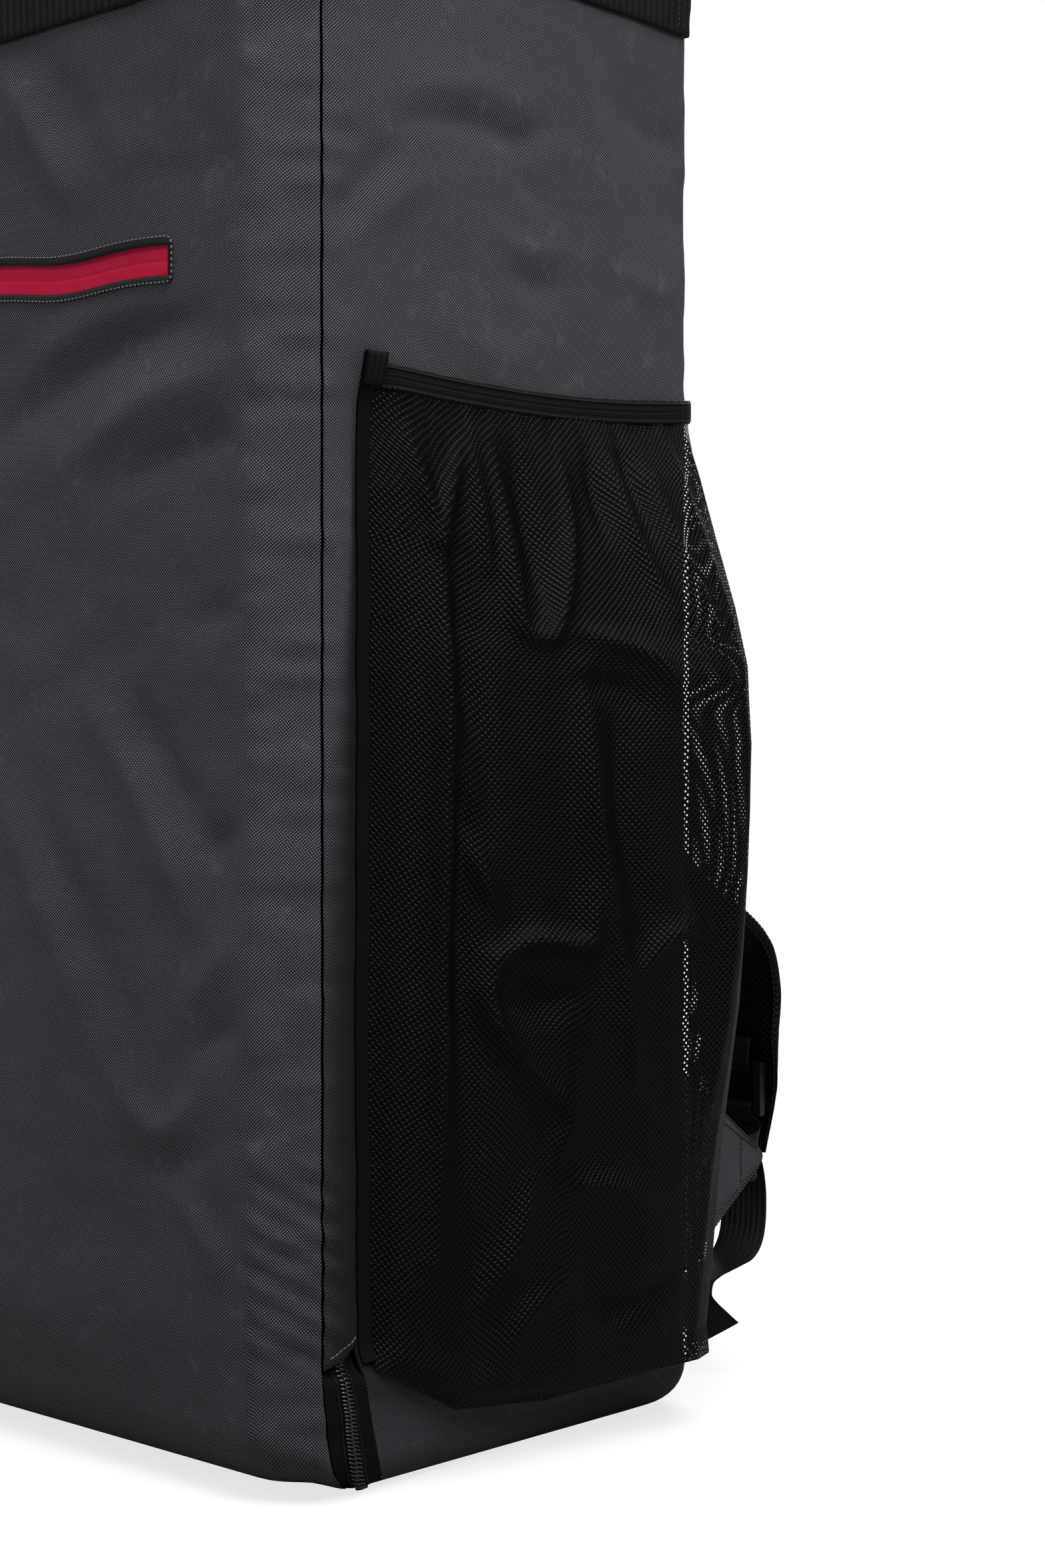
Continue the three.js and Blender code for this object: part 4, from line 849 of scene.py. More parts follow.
def new_group(name, inputs, outputs):
    tree = bpy.data.node_groups.new(name, "ShaderNodeTree")
    for label, kind in inputs:
        tree.interface.new_socket(label, in_out="INPUT", socket_type="NodeSocket" + kind)
    for label, kind in outputs:
        tree.interface.new_socket(label, in_out="OUTPUT", socket_type="NodeSocket" + kind)
    return tree, tree.nodes.new("NodeGroupInput").outputs, tree.nodes.new("NodeGroupOutput").inputs


def axes(tree, vector):
    node = tree.nodes.new("ShaderNodeSeparateXYZ")
    tree.links.new(vector, node.inputs[0])
    return node.outputs


def wave(tree, value, pitch):
    """The height of a row of round threads, 0 between them and 1 on them."""
    turns = maths(tree, "DIVIDE", value, pitch)
    return maths(tree, "ABSOLUTE", maths(tree, "SINE", maths(tree, "MULTIPLY", turns, math.pi)))


THREAD_INPUTS = [("Place", "Vector"), ("Pitch", "Float")]
THREAD_OUTPUTS = [("Height", "Float"), ("Shade", "Float")]


def build_plain_weave():
    """Threads that pass over and under: Height is the cloth's, and Shade, used as colour, is
    painted shade, lowest between the threads and where they pass under, and painted highlight on
    their crowns."""
    tree, given, out = new_group("Plain weave", THREAD_INPUTS, THREAD_OUTPUTS)
    u, v, _ = axes(tree, given["Place"])
    across, along = wave(tree, u, given["Pitch"]), wave(tree, v, given["Pitch"])
    bead = maths(tree, "POWER", maths(tree, "MULTIPLY", across, along), 0.8)
    column = maths(tree, "FLOOR", maths(tree, "DIVIDE", u, given["Pitch"]))
    row = maths(tree, "FLOOR", maths(tree, "DIVIDE", v, given["Pitch"]))
    over = maths(tree, "PINGPONG", maths(tree, "ADD", column, row), 1.0)
    tree.links.new(maths(tree, "MULTIPLY", bead, ranged(tree, over, 0.6, 1.0)), out["Height"])
    tree.links.new(maths(tree, "MULTIPLY", bead, ranged(tree, over, 0.05, 1.15)), out["Shade"])
    return tree


def build_webbing_rows():
    """Slanted ribs that turn back and forth across a strap, over straight ones."""
    tree, given, out = new_group("Webbing rows", THREAD_INPUTS, THREAD_OUTPUTS)
    u, v, _ = axes(tree, given["Place"])
    bars = wave(tree, v, given["Pitch"])
    zigzag = maths(tree, "PINGPONG", u, maths(tree, "MULTIPLY", given["Pitch"], 2.0))
    slanted = wave(tree, maths(tree, "ADD", v, zigzag), given["Pitch"])
    main, finer = maths(tree, "MULTIPLY", slanted, 0.7), maths(tree, "MULTIPLY", bars, 0.3)
    both = maths(tree, "ADD", main, finer)
    tree.links.new(both, out["Height"])
    # Shade, used as colour, is painted highlight on the ribs' crowns and painted shade between them
    tree.links.new(maths(tree, "POWER", both, 1.4), out["Shade"])
    return tree


def build_net_holes():
    """Rows of round holes, each row set half a step aside: Cover is 0 in the holes, and
    Height rises from them to the middle of the threads."""
    tree, given, out = new_group(
        "Net holes", THREAD_INPUTS + [("Hole", "Float")], [("Cover", "Float"), ("Height", "Float")]
    )
    u, v, _ = axes(tree, given["Place"])
    gaps = []
    for shift in (0.0, 0.5):
        squares = []
        for place in (u, v):
            steps = maths(tree, "ADD", maths(tree, "DIVIDE", place, given["Pitch"]), shift)
            part = maths(tree, "SUBTRACT", maths(tree, "FRACT", steps), 0.5)
            squares.append(maths(tree, "POWER", maths(tree, "MULTIPLY", part, given["Pitch"]), 2.0))
        gaps.append(maths(tree, "SQRT", maths(tree, "ADD", *squares)))
    gap = maths(tree, "MINIMUM", *gaps)
    beyond = maths(tree, "SUBTRACT", gap, given["Hole"])
    cover = maths(tree, "MULTIPLY", beyond, 12.0, clamp=True)
    tree.links.new(cover, out["Cover"])
    ridge = maths(tree, "MULTIPLY", beyond, 0.72, clamp=True)
    tree.links.new(maths(tree, "POWER", ridge, 1.8), out["Height"])
    return tree


def build_wear():
    """Uneven tone of used cloth: Tone is near 1, Scuff marks rubbed places."""
    tree, given, out = new_group(
        "Wear", [("Place", "Vector")], [("Tone", "Float"), ("Scuff", "Float")]
    )
    broad = noise(tree, given["Place"], 9.0, 2.0)
    fine = noise(tree, given["Place"], 70.0, 4.0)
    tone = maths(tree, "ADD", ranged(tree, broad, 0.86, 1.12), ranged(tree, fine, -0.05, 0.05))
    tree.links.new(tone, out["Tone"])
    rubbed = maths(tree, "MULTIPLY", maths(tree, "SUBTRACT", fine, 0.62), 5.0, clamp=True)
    tree.links.new(rubbed, out["Scuff"])
    return tree


GROUPS = {
    "weave": build_plain_weave(),
    "webbing": build_webbing_rows(),
    "net": build_net_holes(),
    "wear": build_wear(),
}


def place_group(tree, kind, **values):
    node = tree.nodes.new("ShaderNodeGroup")
    node.node_tree = GROUPS[kind]
    for label, value in values.items():
        feed(tree, node.inputs[label], value)
    return node.outputs


SHINE_SPAN = 0.16
SLOTS = {}


def start_finish(name, slot, roughness, specular, sheen=0.0):
    """A new material for a slot, with its shader and the places to draw it by."""
    SLOTS[name] = slot
    material = bpy.data.materials.new(name)
    material.use_nodes = True
    tree = material.node_tree
    shader = tree.nodes["Principled BSDF"]
    shader.inputs["Roughness"].default_value = roughness
    shader.inputs["Specular IOR Level"].default_value = specular
    shader.inputs["Sheen Weight"].default_value = sheen
    shader.inputs["Sheen Roughness"].default_value = 0.4
    coordinates = tree.nodes.new("ShaderNodeTexCoord")
    threads = tree.nodes.new("ShaderNodeUVMap")
    threads.uv_map = "Threads"
    return material, tree, shader, threads.outputs[0], coordinates.outputs["Object"]


def bumped(tree, shader, height, distance):
    bump = tree.nodes.new("ShaderNodeBump")
    bump.inputs["Distance"].default_value = distance
    bump.inputs["Strength"].default_value = 1.0
    tree.links.new(height, bump.inputs["Height"])
    tree.links.new(bump.outputs[0], shader.inputs["Normal"])


def toned(tree, dark, light, share, tone):
    """A colour between two, then made lighter or darker by a tone."""
    mixed = blend_colour(tree, share, dark, light)
    scale = tree.nodes.new("ShaderNodeVectorMath")
    scale.operation = "SCALE"
    tree.links.new(mixed, scale.inputs[0])
    tree.links.new(tone, scale.inputs["Scale"])
    return scale.outputs[0]


def foot_painted_shade(tree, place):
    """Painted shade: cloth that is a little darker towards the foot of the bag, where less light
    falls.
    """
    return faded(tree, axes(tree, place)[2], 0.0, 0.42, 0.72, 1.0)


def pocket_painted_shade(tree, place):
    """The foot's painted shade, and painted shade beside and behind the net pocket, where the
    pocket shades the side and its cover strip. Bare heights are in metres."""
    inset = POCKET_INSET * MM
    x, y, z = axes(tree, place)
    from_seam = maths(tree, "ADD", y, (HALF_DEPTH - STRIP_FORWARD) * MM)
    start = faded(tree, z, 0.2, 0.58, -inset, 0.75 * inset)
    beside = faded(tree, from_seam, start, 0.92 * inset)
    below_top = faded(tree, z, (POCKET_TOP + 4) * MM, (POCKET_TOP - 90) * MM)
    right = faded(tree, x, 0.2, 0.22)
    over_foot = faded(tree, z, 0.03, 0.08, 0.12, 1.0)
    # Painted shade of the net pocket: the side is up to 92% darker beside its front edge and behind
    # the net
    shaded = 0.92
    for share in (beside, below_top, right, over_foot):
        shaded = maths(tree, "MULTIPLY", share, shaded)
    return maths(tree, "MULTIPLY", maths(tree, "SUBTRACT", 1.0, shaded), foot_painted_shade(tree, place))


def woven_finish(
    name, slot, dark, light, pitch, depth, roughness, specular,
    sheen=0.0, kind="weave", painted_shade_tone=None,
):
    """Cloth of threads a pitch apart, in millimetres, coloured between dark and light by the
    weave's Shade: painted shade in the gaps and where threads pass under, painted highlight on
    their crowns.
    """
    material, tree, shader, threads, place = start_finish(name, slot, roughness, specular, sheen)
    weave = place_group(tree, kind, Place=threads, Pitch=pitch)
    wear = place_group(tree, "wear", Place=place)
    rubbed = maths(tree, "MULTIPLY", wear["Scuff"], 0.15)
    share = maths(tree, "ADD", weave["Shade"], rubbed, clamp=True)
    tone = wear["Tone"]
    # Painted shade, where one is given, darkens the wear's tone
    if painted_shade_tone:
        tone = maths(tree, "MULTIPLY", tone, painted_shade_tone(tree, place))
    tree.links.new(toned(tree, dark, light, share, tone), shader.inputs["Base Color"])
    polish = maths(tree, "MULTIPLY", weave["Height"], SHINE_SPAN)
    shine = maths(tree, "SUBTRACT", roughness + SHINE_SPAN / 2, polish)
    tree.links.new(shine, shader.inputs["Roughness"])
    bumped(tree, shader, weave["Height"], depth)
    return material


def net_finish(name, slot, colour, lit, pitch, hole, depth, see_through):
    """Net with round holes, which can be seen through or not, its threads painted lighter towards
    their middles as highlight.
    """
    material, tree, shader, threads, place = start_finish(name, slot, 0.42, 0.1)
    net = place_group(tree, "net", Place=threads, Pitch=pitch, Hole=hole)
    wear = place_group(tree, "wear", Place=place)
    # Painted highlight and shade: the threads run from the dark colour at the holes to the lit
    # colour at their middles
    colours = toned(tree, colour, lit, net["Height"], wear["Tone"])
    tree.links.new(colours, shader.inputs["Base Color"])
    bumped(tree, shader, net["Height"], depth)
    if see_through:
        tree.links.new(net["Cover"], shader.inputs["Alpha"])
    return material


def smooth_finish(name, slot, colour, lit, roughness, grain, depth, specular=0.5):
    """Moulded or coated surface with a fine grain."""
    material, tree, shader, _, place = start_finish(name, slot, roughness, specular)
    wear = place_group(tree, "wear", Place=place)
    speckle = noise(tree, place, grain, 3.0)
    colours = toned(tree, colour, lit, wear["Scuff"], wear["Tone"])
    tree.links.new(colours, shader.inputs["Base Color"])
    shine = ranged(tree, speckle, roughness - 0.1, roughness + 0.12)
    tree.links.new(shine, shader.inputs["Roughness"])
    bumped(tree, shader, speckle, depth)
    return material


# Finishes: name, slot and two colours, and then
# woven: pitch in millimetres, depth of the bumps in metres, roughness, specular, sheen
# smooth: roughness, scale of the grain, depth of the bumps in metres, specular
# net: pitch and hole in millimetres, depth of the bumps in metres
# Dark is the painted shade between the threads, light the grey of their crowns with painted
# highlight
DARK_GREY, LIGHT_GREY = (0.0035, 0.0033, 0.0045, 1), (0.215, 0.208, 0.243, 1)
# The grey cloth, with painted shade towards the foot
CLOTH = woven_finish(
    "grey_cloth", "grey_weave", DARK_GREY, LIGHT_GREY,
    0.95, 0.00028, 0.55, 0.2, 0.02, painted_shade_tone=foot_painted_shade,
)
# The side's grey cloth, with painted shade beside and behind the net pocket and towards the foot
SIDE_CLOTH = woven_finish(
    "side_cloth_pocket_shade", "grey_weave", DARK_GREY, LIGHT_GREY,
    0.95, 0.00028, 0.55, 0.2, 0.02, painted_shade_tone=pocket_painted_shade,
)
# The window rim's grey cloth, a darker copy painted with the shade that falls on the folded rim
RIM_CLOTH_PAINTED_SHADE = woven_finish(
    "window_rim_painted_shade", "grey_weave", (0.006, 0.006, 0.007, 1), (0.085, 0.083, 0.095, 1),
    0.95, 0.00028, 0.6, 0.15,
)
STRAP_CLOTH = woven_finish(
    "strap_cloth", "black_webbing", (0.001, 0.001, 0.0011, 1), (0.0085, 0.0085, 0.009, 1),
    1.5, 0.0004, 0.6, 0.15, kind="webbing",
)
STRAP_FINE = woven_finish(
    "fine_webbing", "black_webbing", (0.0008, 0.0008, 0.0008, 1), (0.0045, 0.0045, 0.0048, 1),
    0.9, 0.0002, 0.55, 0.12, kind="webbing",
)
TAPE_CLOTH = woven_finish(
    "tape_cloth", "black_webbing", (0.001, 0.001, 0.001, 1), (0.005, 0.005, 0.0052, 1),
    0.5, 0.00015, 0.7, 0.1,
)
PLASTIC = smooth_finish(
    "moulded_black", "black_plastic", (0.004, 0.004, 0.0042, 1), (0.012, 0.012, 0.012, 1),
    0.34, 900.0, 0.0001,
)
COIL = smooth_finish(
    "coil_black", "black_plastic", (0.006, 0.006, 0.0065, 1), (0.02, 0.02, 0.02, 1),
    0.3, 900.0, 0.0001, 0.9,
)
RED_TAPE = smooth_finish(
    "red_tape", "red_zip_tape", (0.78, 0.015, 0.075, 1), (0.84, 0.025, 0.088, 1),
    0.6, 500.0, 0.00008, 0.15,
)
GREY_THREAD = smooth_finish(
    "grey_thread", "grey_weave", (0.2, 0.2, 0.22, 1), (0.28, 0.28, 0.3, 1),
    0.5, 2500.0, 0.0001,
)
DARK_THREAD = smooth_finish(
    "dark_thread", "black_webbing", (0.012, 0.012, 0.013, 1), (0.03, 0.03, 0.032, 1),
    0.45, 2500.0, 0.0001,
)
TAB_THREAD = smooth_finish(
    "tab_thread", "grey_weave", (0.008, 0.008, 0.009, 1), (0.014, 0.014, 0.016, 1),
    0.5, 2500.0, 0.0001,
)
NET = net_finish(
    "pocket_net", "black_mesh", (0.0002, 0.0002, 0.0002, 1), (0.0055, 0.0055, 0.0057, 1),
    3.9, 0.5, 0.0006, see_through=True,
)
PAD_NET = net_finish(
    "pad_net", "black_mesh", (0.001, 0.001, 0.001, 1), (0.006, 0.006, 0.0062, 1),
    4.2, 0.62, 0.0006, see_through=False,
)


# The bag's cloth
def window_line(x):
    """The height of the window's middle line."""
    droop = WINDOW_DROOP * np.clip(x / (WINDOW_LENGTH / 2), -1.15, 1.15) ** 2
    sag = WINDOW_SAG * np.exp(-(((x - WINDOW_SAG_AT) / WINDOW_SAG_REACH) ** 2))
    return WINDOW_MIDDLE - droop - sag


def front_cloth():
    """The front with both corner strips, its curls and the cut window."""
    half = WINDOW_LENGTH / 2
    end = SEAM_AT - ZIP_GAP / 2
    beside, strip = lines(half, CREASE_AT, FRONT_STEP), lines(CREASE_AT, end, STRIP_STEP)
    outer = np.concatenate([beside[:-1], strip])
    middle = lines(-half, half, FRONT_STEP)
    around = np.concatenate([-outer[::-1], middle[1:-1], outer])
    line = window_line(around)
    marks = [line - WINDOW_HEIGHT / 2, line + WINDOW_HEIGHT / 2]
    levels = wall_levels(around, ROW_STEP, marks)
    points = skin(around[:, None], levels)
    _, _, heights = wall_profile(around[:, None], levels)
    mid_z = (heights[:-1, 1:] + heights[:-1, :-1]) / 2
    mid_around = (around[1:] + around[:-1]) / 2
    inside = np.abs(mid_around) < half
    in_rows = np.abs(mid_z - window_line(mid_around)[:, None]) < WINDOW_HEIGHT / 2 - 0.2
    skip = inside[:, None] & in_rows
    hem = hemmed(points, HEM_DROP)
    wide = np.zeros((hem.shape[0] - 1, hem.shape[1] - 1), bool)
    wide[1:-1, 1:-1] = skip
    hole = WINDOW_LENGTH * WINDOW_HEIGHT * MM * MM
    cloth_piece("front_cloth", hem, CLOTH, BOTH_SIDES, "front_panel", cut_out=hole, skip=wide)


def wall_thread(around, level):
    """Lengths along the threads of the walls, for the weave."""
    curl = curl_height(around) + 0 * level
    _, _, z = wall_profile(around, level)
    low = curl * (np.clip(level / CURL_SHARE, 0, 1) * np.pi / 2 - 1)
    high = TOP_CURL * (np.clip((level - 1 + CURL_SHARE) / CURL_SHARE, 0, 1) * np.pi / 2 - 1)
    run = np.where(level < CURL_SHARE, curl + low, z)
    run = np.where(level > 1 - CURL_SHARE, WALL_TOP + high, run)
    return np.stack([around + 0 * level, run], -1)


def flap_hem(around):
    """The height of the cover strip's lower end."""
    share = np.clip((around - SEAM_AT) / FLAP_WIDTH, 0, 1)
    return FLAP_HEM_FRONT + (FLAP_HEM_SIDE - FLAP_HEM_FRONT) * share


def side_cloths():
    """Each side with its cover strip: one cloth with a corner open round the zip's end."""
    flap = np.concatenate([EDGE_ROWS, spread(EDGE_REACH, FLAP_WIDTH - 4, FLAP_COLUMNS)])
    flap = flap + SEAM_AT + ZIP_GAP / 2
    beyond = lines(FLAP_END_AT, BACK_CORNER_AT - SEAM_GAP / 2, ROW_STEP)
    around = np.concatenate([flap, beyond])
    foot = flap_hem(around)
    top = WALL_TOP - TOP_CURL
    heights = foot[:, None] + (top - foot)[:, None] * spread(0, 1, SIDE_ROWS)
    column = np.ones((len(around), 1))
    over = column * spread(1 - CURL_SHARE, 1, CURL_ROWS)[1:]
    wall = level_at(around[:, None], heights)
    wall[:, -1] = 1 - CURL_SHARE
    upper = np.concatenate([wall, over], 1)
    curl = curl_height(beyond)[:, None]
    heights = curl + (FLAP_HEM_SIDE - curl) * spread(0, 1, SIDE_LOW_ROWS)
    under = np.ones((len(beyond), 1)) * spread(0, CURL_SHARE, CURL_ROWS)[:-1]
    lower = np.concatenate([under, level_at(beyond[:, None], heights)], 1)
    for word, flip in HANDS:
        side = int(flip[0])
        points, threads, faces = [], [], []
        for places, levels in ((around, upper), (beyond, lower)):
            grid = skin(side * places[:, None], levels)
            sheet = hemmed(grid, HEM_DROP * side)
            thread = hemmed_values(wall_thread(side * places[:, None], levels))
            start = sum(len(part) for part in points)
            columns, rows = sheet.shape[:2]
            skip = np.zeros((columns - 1, rows - 1), bool)
            if places is beyond:
                skip[:, -1] = True
            else:
                skip[len(flap) + 1:, 0] = True
            grid_part = grid_faces(columns, rows, skip=skip)
            faces += [tuple(start + corner for corner in face) for face in grid_part]
            points.append(sheet.reshape(-1, 3))
            threads.append(thread.reshape(-1, 2))
        points, threads = np.concatenate(points), np.concatenate(threads)
        if side < 0:
            faces = [face[::-1] for face in faces]
        piece = make_mesh(f"side_cloth_{word}", points, faces, SIDE_CLOTH, threads)
        merge_close(piece)
        width, height = BACK_CORNER_AT - SEAM_AT, WALL_TOP + 0.57 * (TOP_CURL + CURL_SIDE)
        area = width * height - FLAP_WIDTH * (FLAP_HEM_SIDE + FLAP_HEM_FRONT) / 2
        flat, area = (width * MM, height * MM), area * MM * MM
        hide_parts(f"side_panel_{word}")
        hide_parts(f"zip_flap_{word}")


def merge_close(piece):
    """Joins corners that lie on each other, where two grids of one cloth meet."""
    shape = bmesh.new()
    shape.from_mesh(piece.data)
    bmesh.ops.remove_doubles(shape, verts=shape.verts, dist=0.00002)
    shape.to_mesh(piece.data)
    shape.free()


def back_cloth():
    start = BACK_CORNER_AT + SEAM_GAP / 2
    around = lines(start, 2 * BACK_MIDDLE_AT - start, BACK_STEP)
    points = hemmed(skin(around[:, None], wall_levels(around, BACK_STEP)), HEM_DROP)
    cloth_piece("back_cloth", points, CLOTH, BOTH_SIDES, "back_panel")


def cap_points(curl_front, curl_side, y_from, y_to, height_at):
    """A flat end of the bag, cut off at the front corners as the outline is."""
    inner_x = HALF_WIDTH - curl_side - CAP_GAP
    cut_x = CREASE_AT * (1 - curl_side / HALF_WIDTH) - CAP_GAP
    front_y = -HALF_DEPTH + curl_front + CAP_GAP
    seam_y = (STRIP_FORWARD - HALF_DEPTH) * (1 - curl_front / HALF_DEPTH)
    y = spread(y_from, y_to, max(4, int((y_to - y_from) / CAP_STEP)))
    limit = cut_x + (inner_x - cut_x) * np.clip((y - front_y) / (seam_y - front_y), 0, 1)
    x = spread(-1, 1, CAP_COLUMNS)[:, None] * limit
    y = y + 0 * x
    return np.stack([x, y, height_at(x, y)], -1)


def dome_at(x, y):
    """The height of the top."""
    across, along = x / (HALF_WIDTH - TOP_CURL), y / (HALF_DEPTH - TOP_CURL)
    dome = TOP_DOME * np.maximum(0, 1 - across ** 2) * np.maximum(0, 1 - along ** 2)
    edge = smooth(np.minimum(1 - np.abs(across), 1 - np.abs(along)) * 5)
    return WALL_TOP + dome + waves("top", x, y, SEEDS["top"]) * edge


def under_at(x, y):
    """The height of the underside."""
    inner_x, inner_y = HALF_WIDTH - np.abs(x) - 30, HALF_DEPTH - np.abs(y) - 30
    edge = smooth(inner_y / 30) * smooth(inner_x / 30)
    return lift_at(y) + edge * (0.5 + waves("under", x, y, SEEDS["under"]))


def caps():
    """The top, its cover strip and the underside."""
    top_front, top_back = -HALF_DEPTH + TOP_CURL, HALF_DEPTH - TOP_CURL - CAP_GAP
    under_front, under_back = CAP_GAP + CURL_FRONT - HALF_DEPTH, HALF_DEPTH - CURL_BACK - CAP_GAP
    flap_from, flap_end = top_front + ZIP_GAP, top_front + FLAP_WIDTH
    # Name, node, curls at the front and side, front and back ends, height
    sizes = (
        ("top_cloth", "top_panel", TOP_CURL, TOP_CURL, flap_end + SEAM_GAP, top_back, dome_at),
        ("flap_cloth_top", "zip_flap_top", TOP_CURL, TOP_CURL, flap_from, flap_end, dome_at),
        ("under_cloth", "bottom_panel", CURL_FRONT, CURL_SIDE, under_front, under_back, under_at),
    )
    for name, node, *ends in sizes:
        points = cap_points(*ends)
        under = ends[-1] is under_at
        points = hemmed(points, -HEM_DROP if under else HEM_DROP)
        cloth_piece(name, points, CLOTH, ["front_cloth", "back_cloth"], node, turn=under)


# Seams, stitches and small parts
def capsules(starts, ends, outs, width, finish, name):
    """Short round-ended rods between pairs of points, as one piece."""
    starts, ends, outs = (np.asarray(x, float) for x in (starts, ends, outs))
    along = ends - starts
    length = np.linalg.norm(along, axis=-1, keepdims=True)
    along = along / length
    out = outs - (outs * along).sum(-1, keepdims=True) * along
    out /= np.linalg.norm(out, axis=-1, keepdims=True)
    aside = np.cross(along, out)
    rings = []
    for place, girth in ROD_RINGS:
        for corner in range(ROD_SIDES):
            angle = 2 * math.pi * corner / ROD_SIDES
            shift = aside * math.cos(angle) * width / 2 + out * math.sin(angle) * width * ROD_TALL
            rings.append(starts + along * length * place + shift * girth)
    points = np.stack(rings, 1)
    faces = []
    for rod in range(len(points)):
        base = rod * len(rings)
        last = base + len(rings) - ROD_SIDES
        for ring in range(base, last, ROD_SIDES):
            for corner in range(ROD_SIDES):
                a, b = ring + corner, ring + (corner + 1) % ROD_SIDES
                faces.append((a, b, b + ROD_SIDES, a + ROD_SIDES))
        faces.append(tuple(range(base, base + ROD_SIDES))[::-1])
        faces.append(tuple(range(last, last + ROD_SIDES)))
    return make_mesh(name, points.reshape(-1, 3), faces, finish)


def stitch_ends(path, normals, length, step):
    """Where the stitches along a line start and end, and which way is out."""
    path, normals = np.asarray(path, float), np.asarray(normals, float)
    run = np.concatenate([[0], np.cumsum(np.linalg.norm(np.diff(path, axis=0), axis=-1))])
    starts = np.arange(step / 2, run[-1] - length, step)

    def at(places, values):
        return np.stack([np.interp(places, run, values[:, axis]) for axis in range(3)], -1)

    outs = at(starts + length / 2, normals)
    lift = outs * STITCH_LIFT
    return at(starts, path) + lift, at(starts + length, path) + lift, outs


def surface_line(around, heights, distance):
    """A line over the bag at given places, with its outward directions."""
    level = level_at(around, heights)
    outs = off_skin(around, level, 1.0) - off_skin(around, level, 0.0)
    return off_skin(around, level, distance), outs


def stitched(kind, rows, finish, *hand):
    """The stitches along some lines, as one piece."""
    width, length, step = STITCHES[kind]
    ends = [stitch_ends(path, normals, length, step) for path, normals in rows]
    starts, stops, outs = (np.concatenate([row[part] for row in ends]) for part in range(3))
    return capsules(starts, stops, outs, width, finish, "_".join([kind, "stitches", *hand]))


def window_ring(offset):
    """A line round the window at a distance from its edge: places around and heights."""
    reach, rise = WINDOW_LENGTH / 2 + offset, WINDOW_HEIGHT / 2 + offset
    corner = max(WINDOW_CORNER + offset, 0.5)
    x_end, z_end = reach - corner, rise - corner
    x, z = spread(-x_end, x_end, WINDOW_COLUMNS), spread(-z_end, z_end, 8)
    bend = spread(-math.pi / 2, 0, 6)[1:-1]
    straights = ((x, -rise), (reach, z), (x[::-1], rise), (-reach, z[::-1]))
    middles = ((x_end, -z_end), (x_end, z_end), (-x_end, z_end), (-x_end, -z_end))
    side, up = [], []
    for (along, high), (middle_x, middle_z) in zip(straights, middles):
        side += [along + 0 * high, middle_x + corner * np.cos(bend)]
        up += [high + 0 * along, middle_z + corner * np.sin(bend)]
        bend = bend + math.pi / 2
    side, up = np.concatenate(side), np.concatenate(up)
    return side, window_line(side) + up


WINDOW_RIM = table(
    "offset out",
    (0.1, -2.6), (-0.35, -1.2), (-0.2, 0.2), (0.5, 0.95),
    (1.6, 1.15), (3.0, 1.1), (3.9, 0.95), (4.3, 0.1),
)
WINDOW_STITCH_AT = 3.9
RED_TAPE_ROWS = table(
    "rise out",
    (-17, 0), (-11.5, 0), (-9, 0), (-4, 0.1), (-1.6, 0.3), (-0.5, 0.15), (0, -0.5),
    (0.5, 0.15), (1.6, 0.3), (4, 0.1), (9, 0), (11.5, 0), (17, 0),
)


def window_zip():
    """The window's folded rim with its stitches, and the red tape behind it."""
    rings = []
    for offset, out in zip(WINDOW_RIM["offset"], WINDOW_RIM["out"]):
        side, z = window_ring(offset - WINDOW_RIM_INWARD)
        rings.append(off_skin(side, level_at(side, z), out + 0 * side))
    points = np.stack(rings, 1)
    count, rows = points.shape[:2]
    faces = grid_faces(count, rows, closed=True)
    uv = np.stack([points[..., 0], arcs(points, 1)], -1).reshape(-1, 2)
    # The rim's cloth is painted darker, as shade
    edge = make_mesh("window_edge", points.reshape(-1, 3), faces, RIM_CLOTH_PAINTED_SHADE, uv)
    turn_to(edge, Vector((0, -1, 0)))
    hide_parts("pocket_zip_frame")
    path, outs = surface_line(*window_ring(WINDOW_STITCH_AT - WINDOW_RIM_INWARD), 1.1)
    closed = (np.vstack([path, path[:1]]), np.vstack([outs, outs[:1]]))
    stitched("window", [closed], GREY_THREAD)

    reach = WINDOW_LENGTH / 2 + 6
    around = spread(-reach, reach, RED_TAPE_COLUMNS)[:, None]
    line = window_line(around) + RED_TAPE_ROWS["rise"]
    tape = off_skin(around, level_at(around, line), RED_TAPE_ROWS["out"] - TAPE_SUNK + 0 * line)
    cloth_piece("window_tape", tape, RED_TAPE, ["front_cloth"], "pocket_zip_tape")


def turn_to(piece, direction):
    """Turns a piece's faces over if most of them look away from a direction."""
    total = sum((face.normal * face.area for face in piece.data.polygons), Vector())
    if total.dot(direction) < 0:
        piece.data.flip_normals()


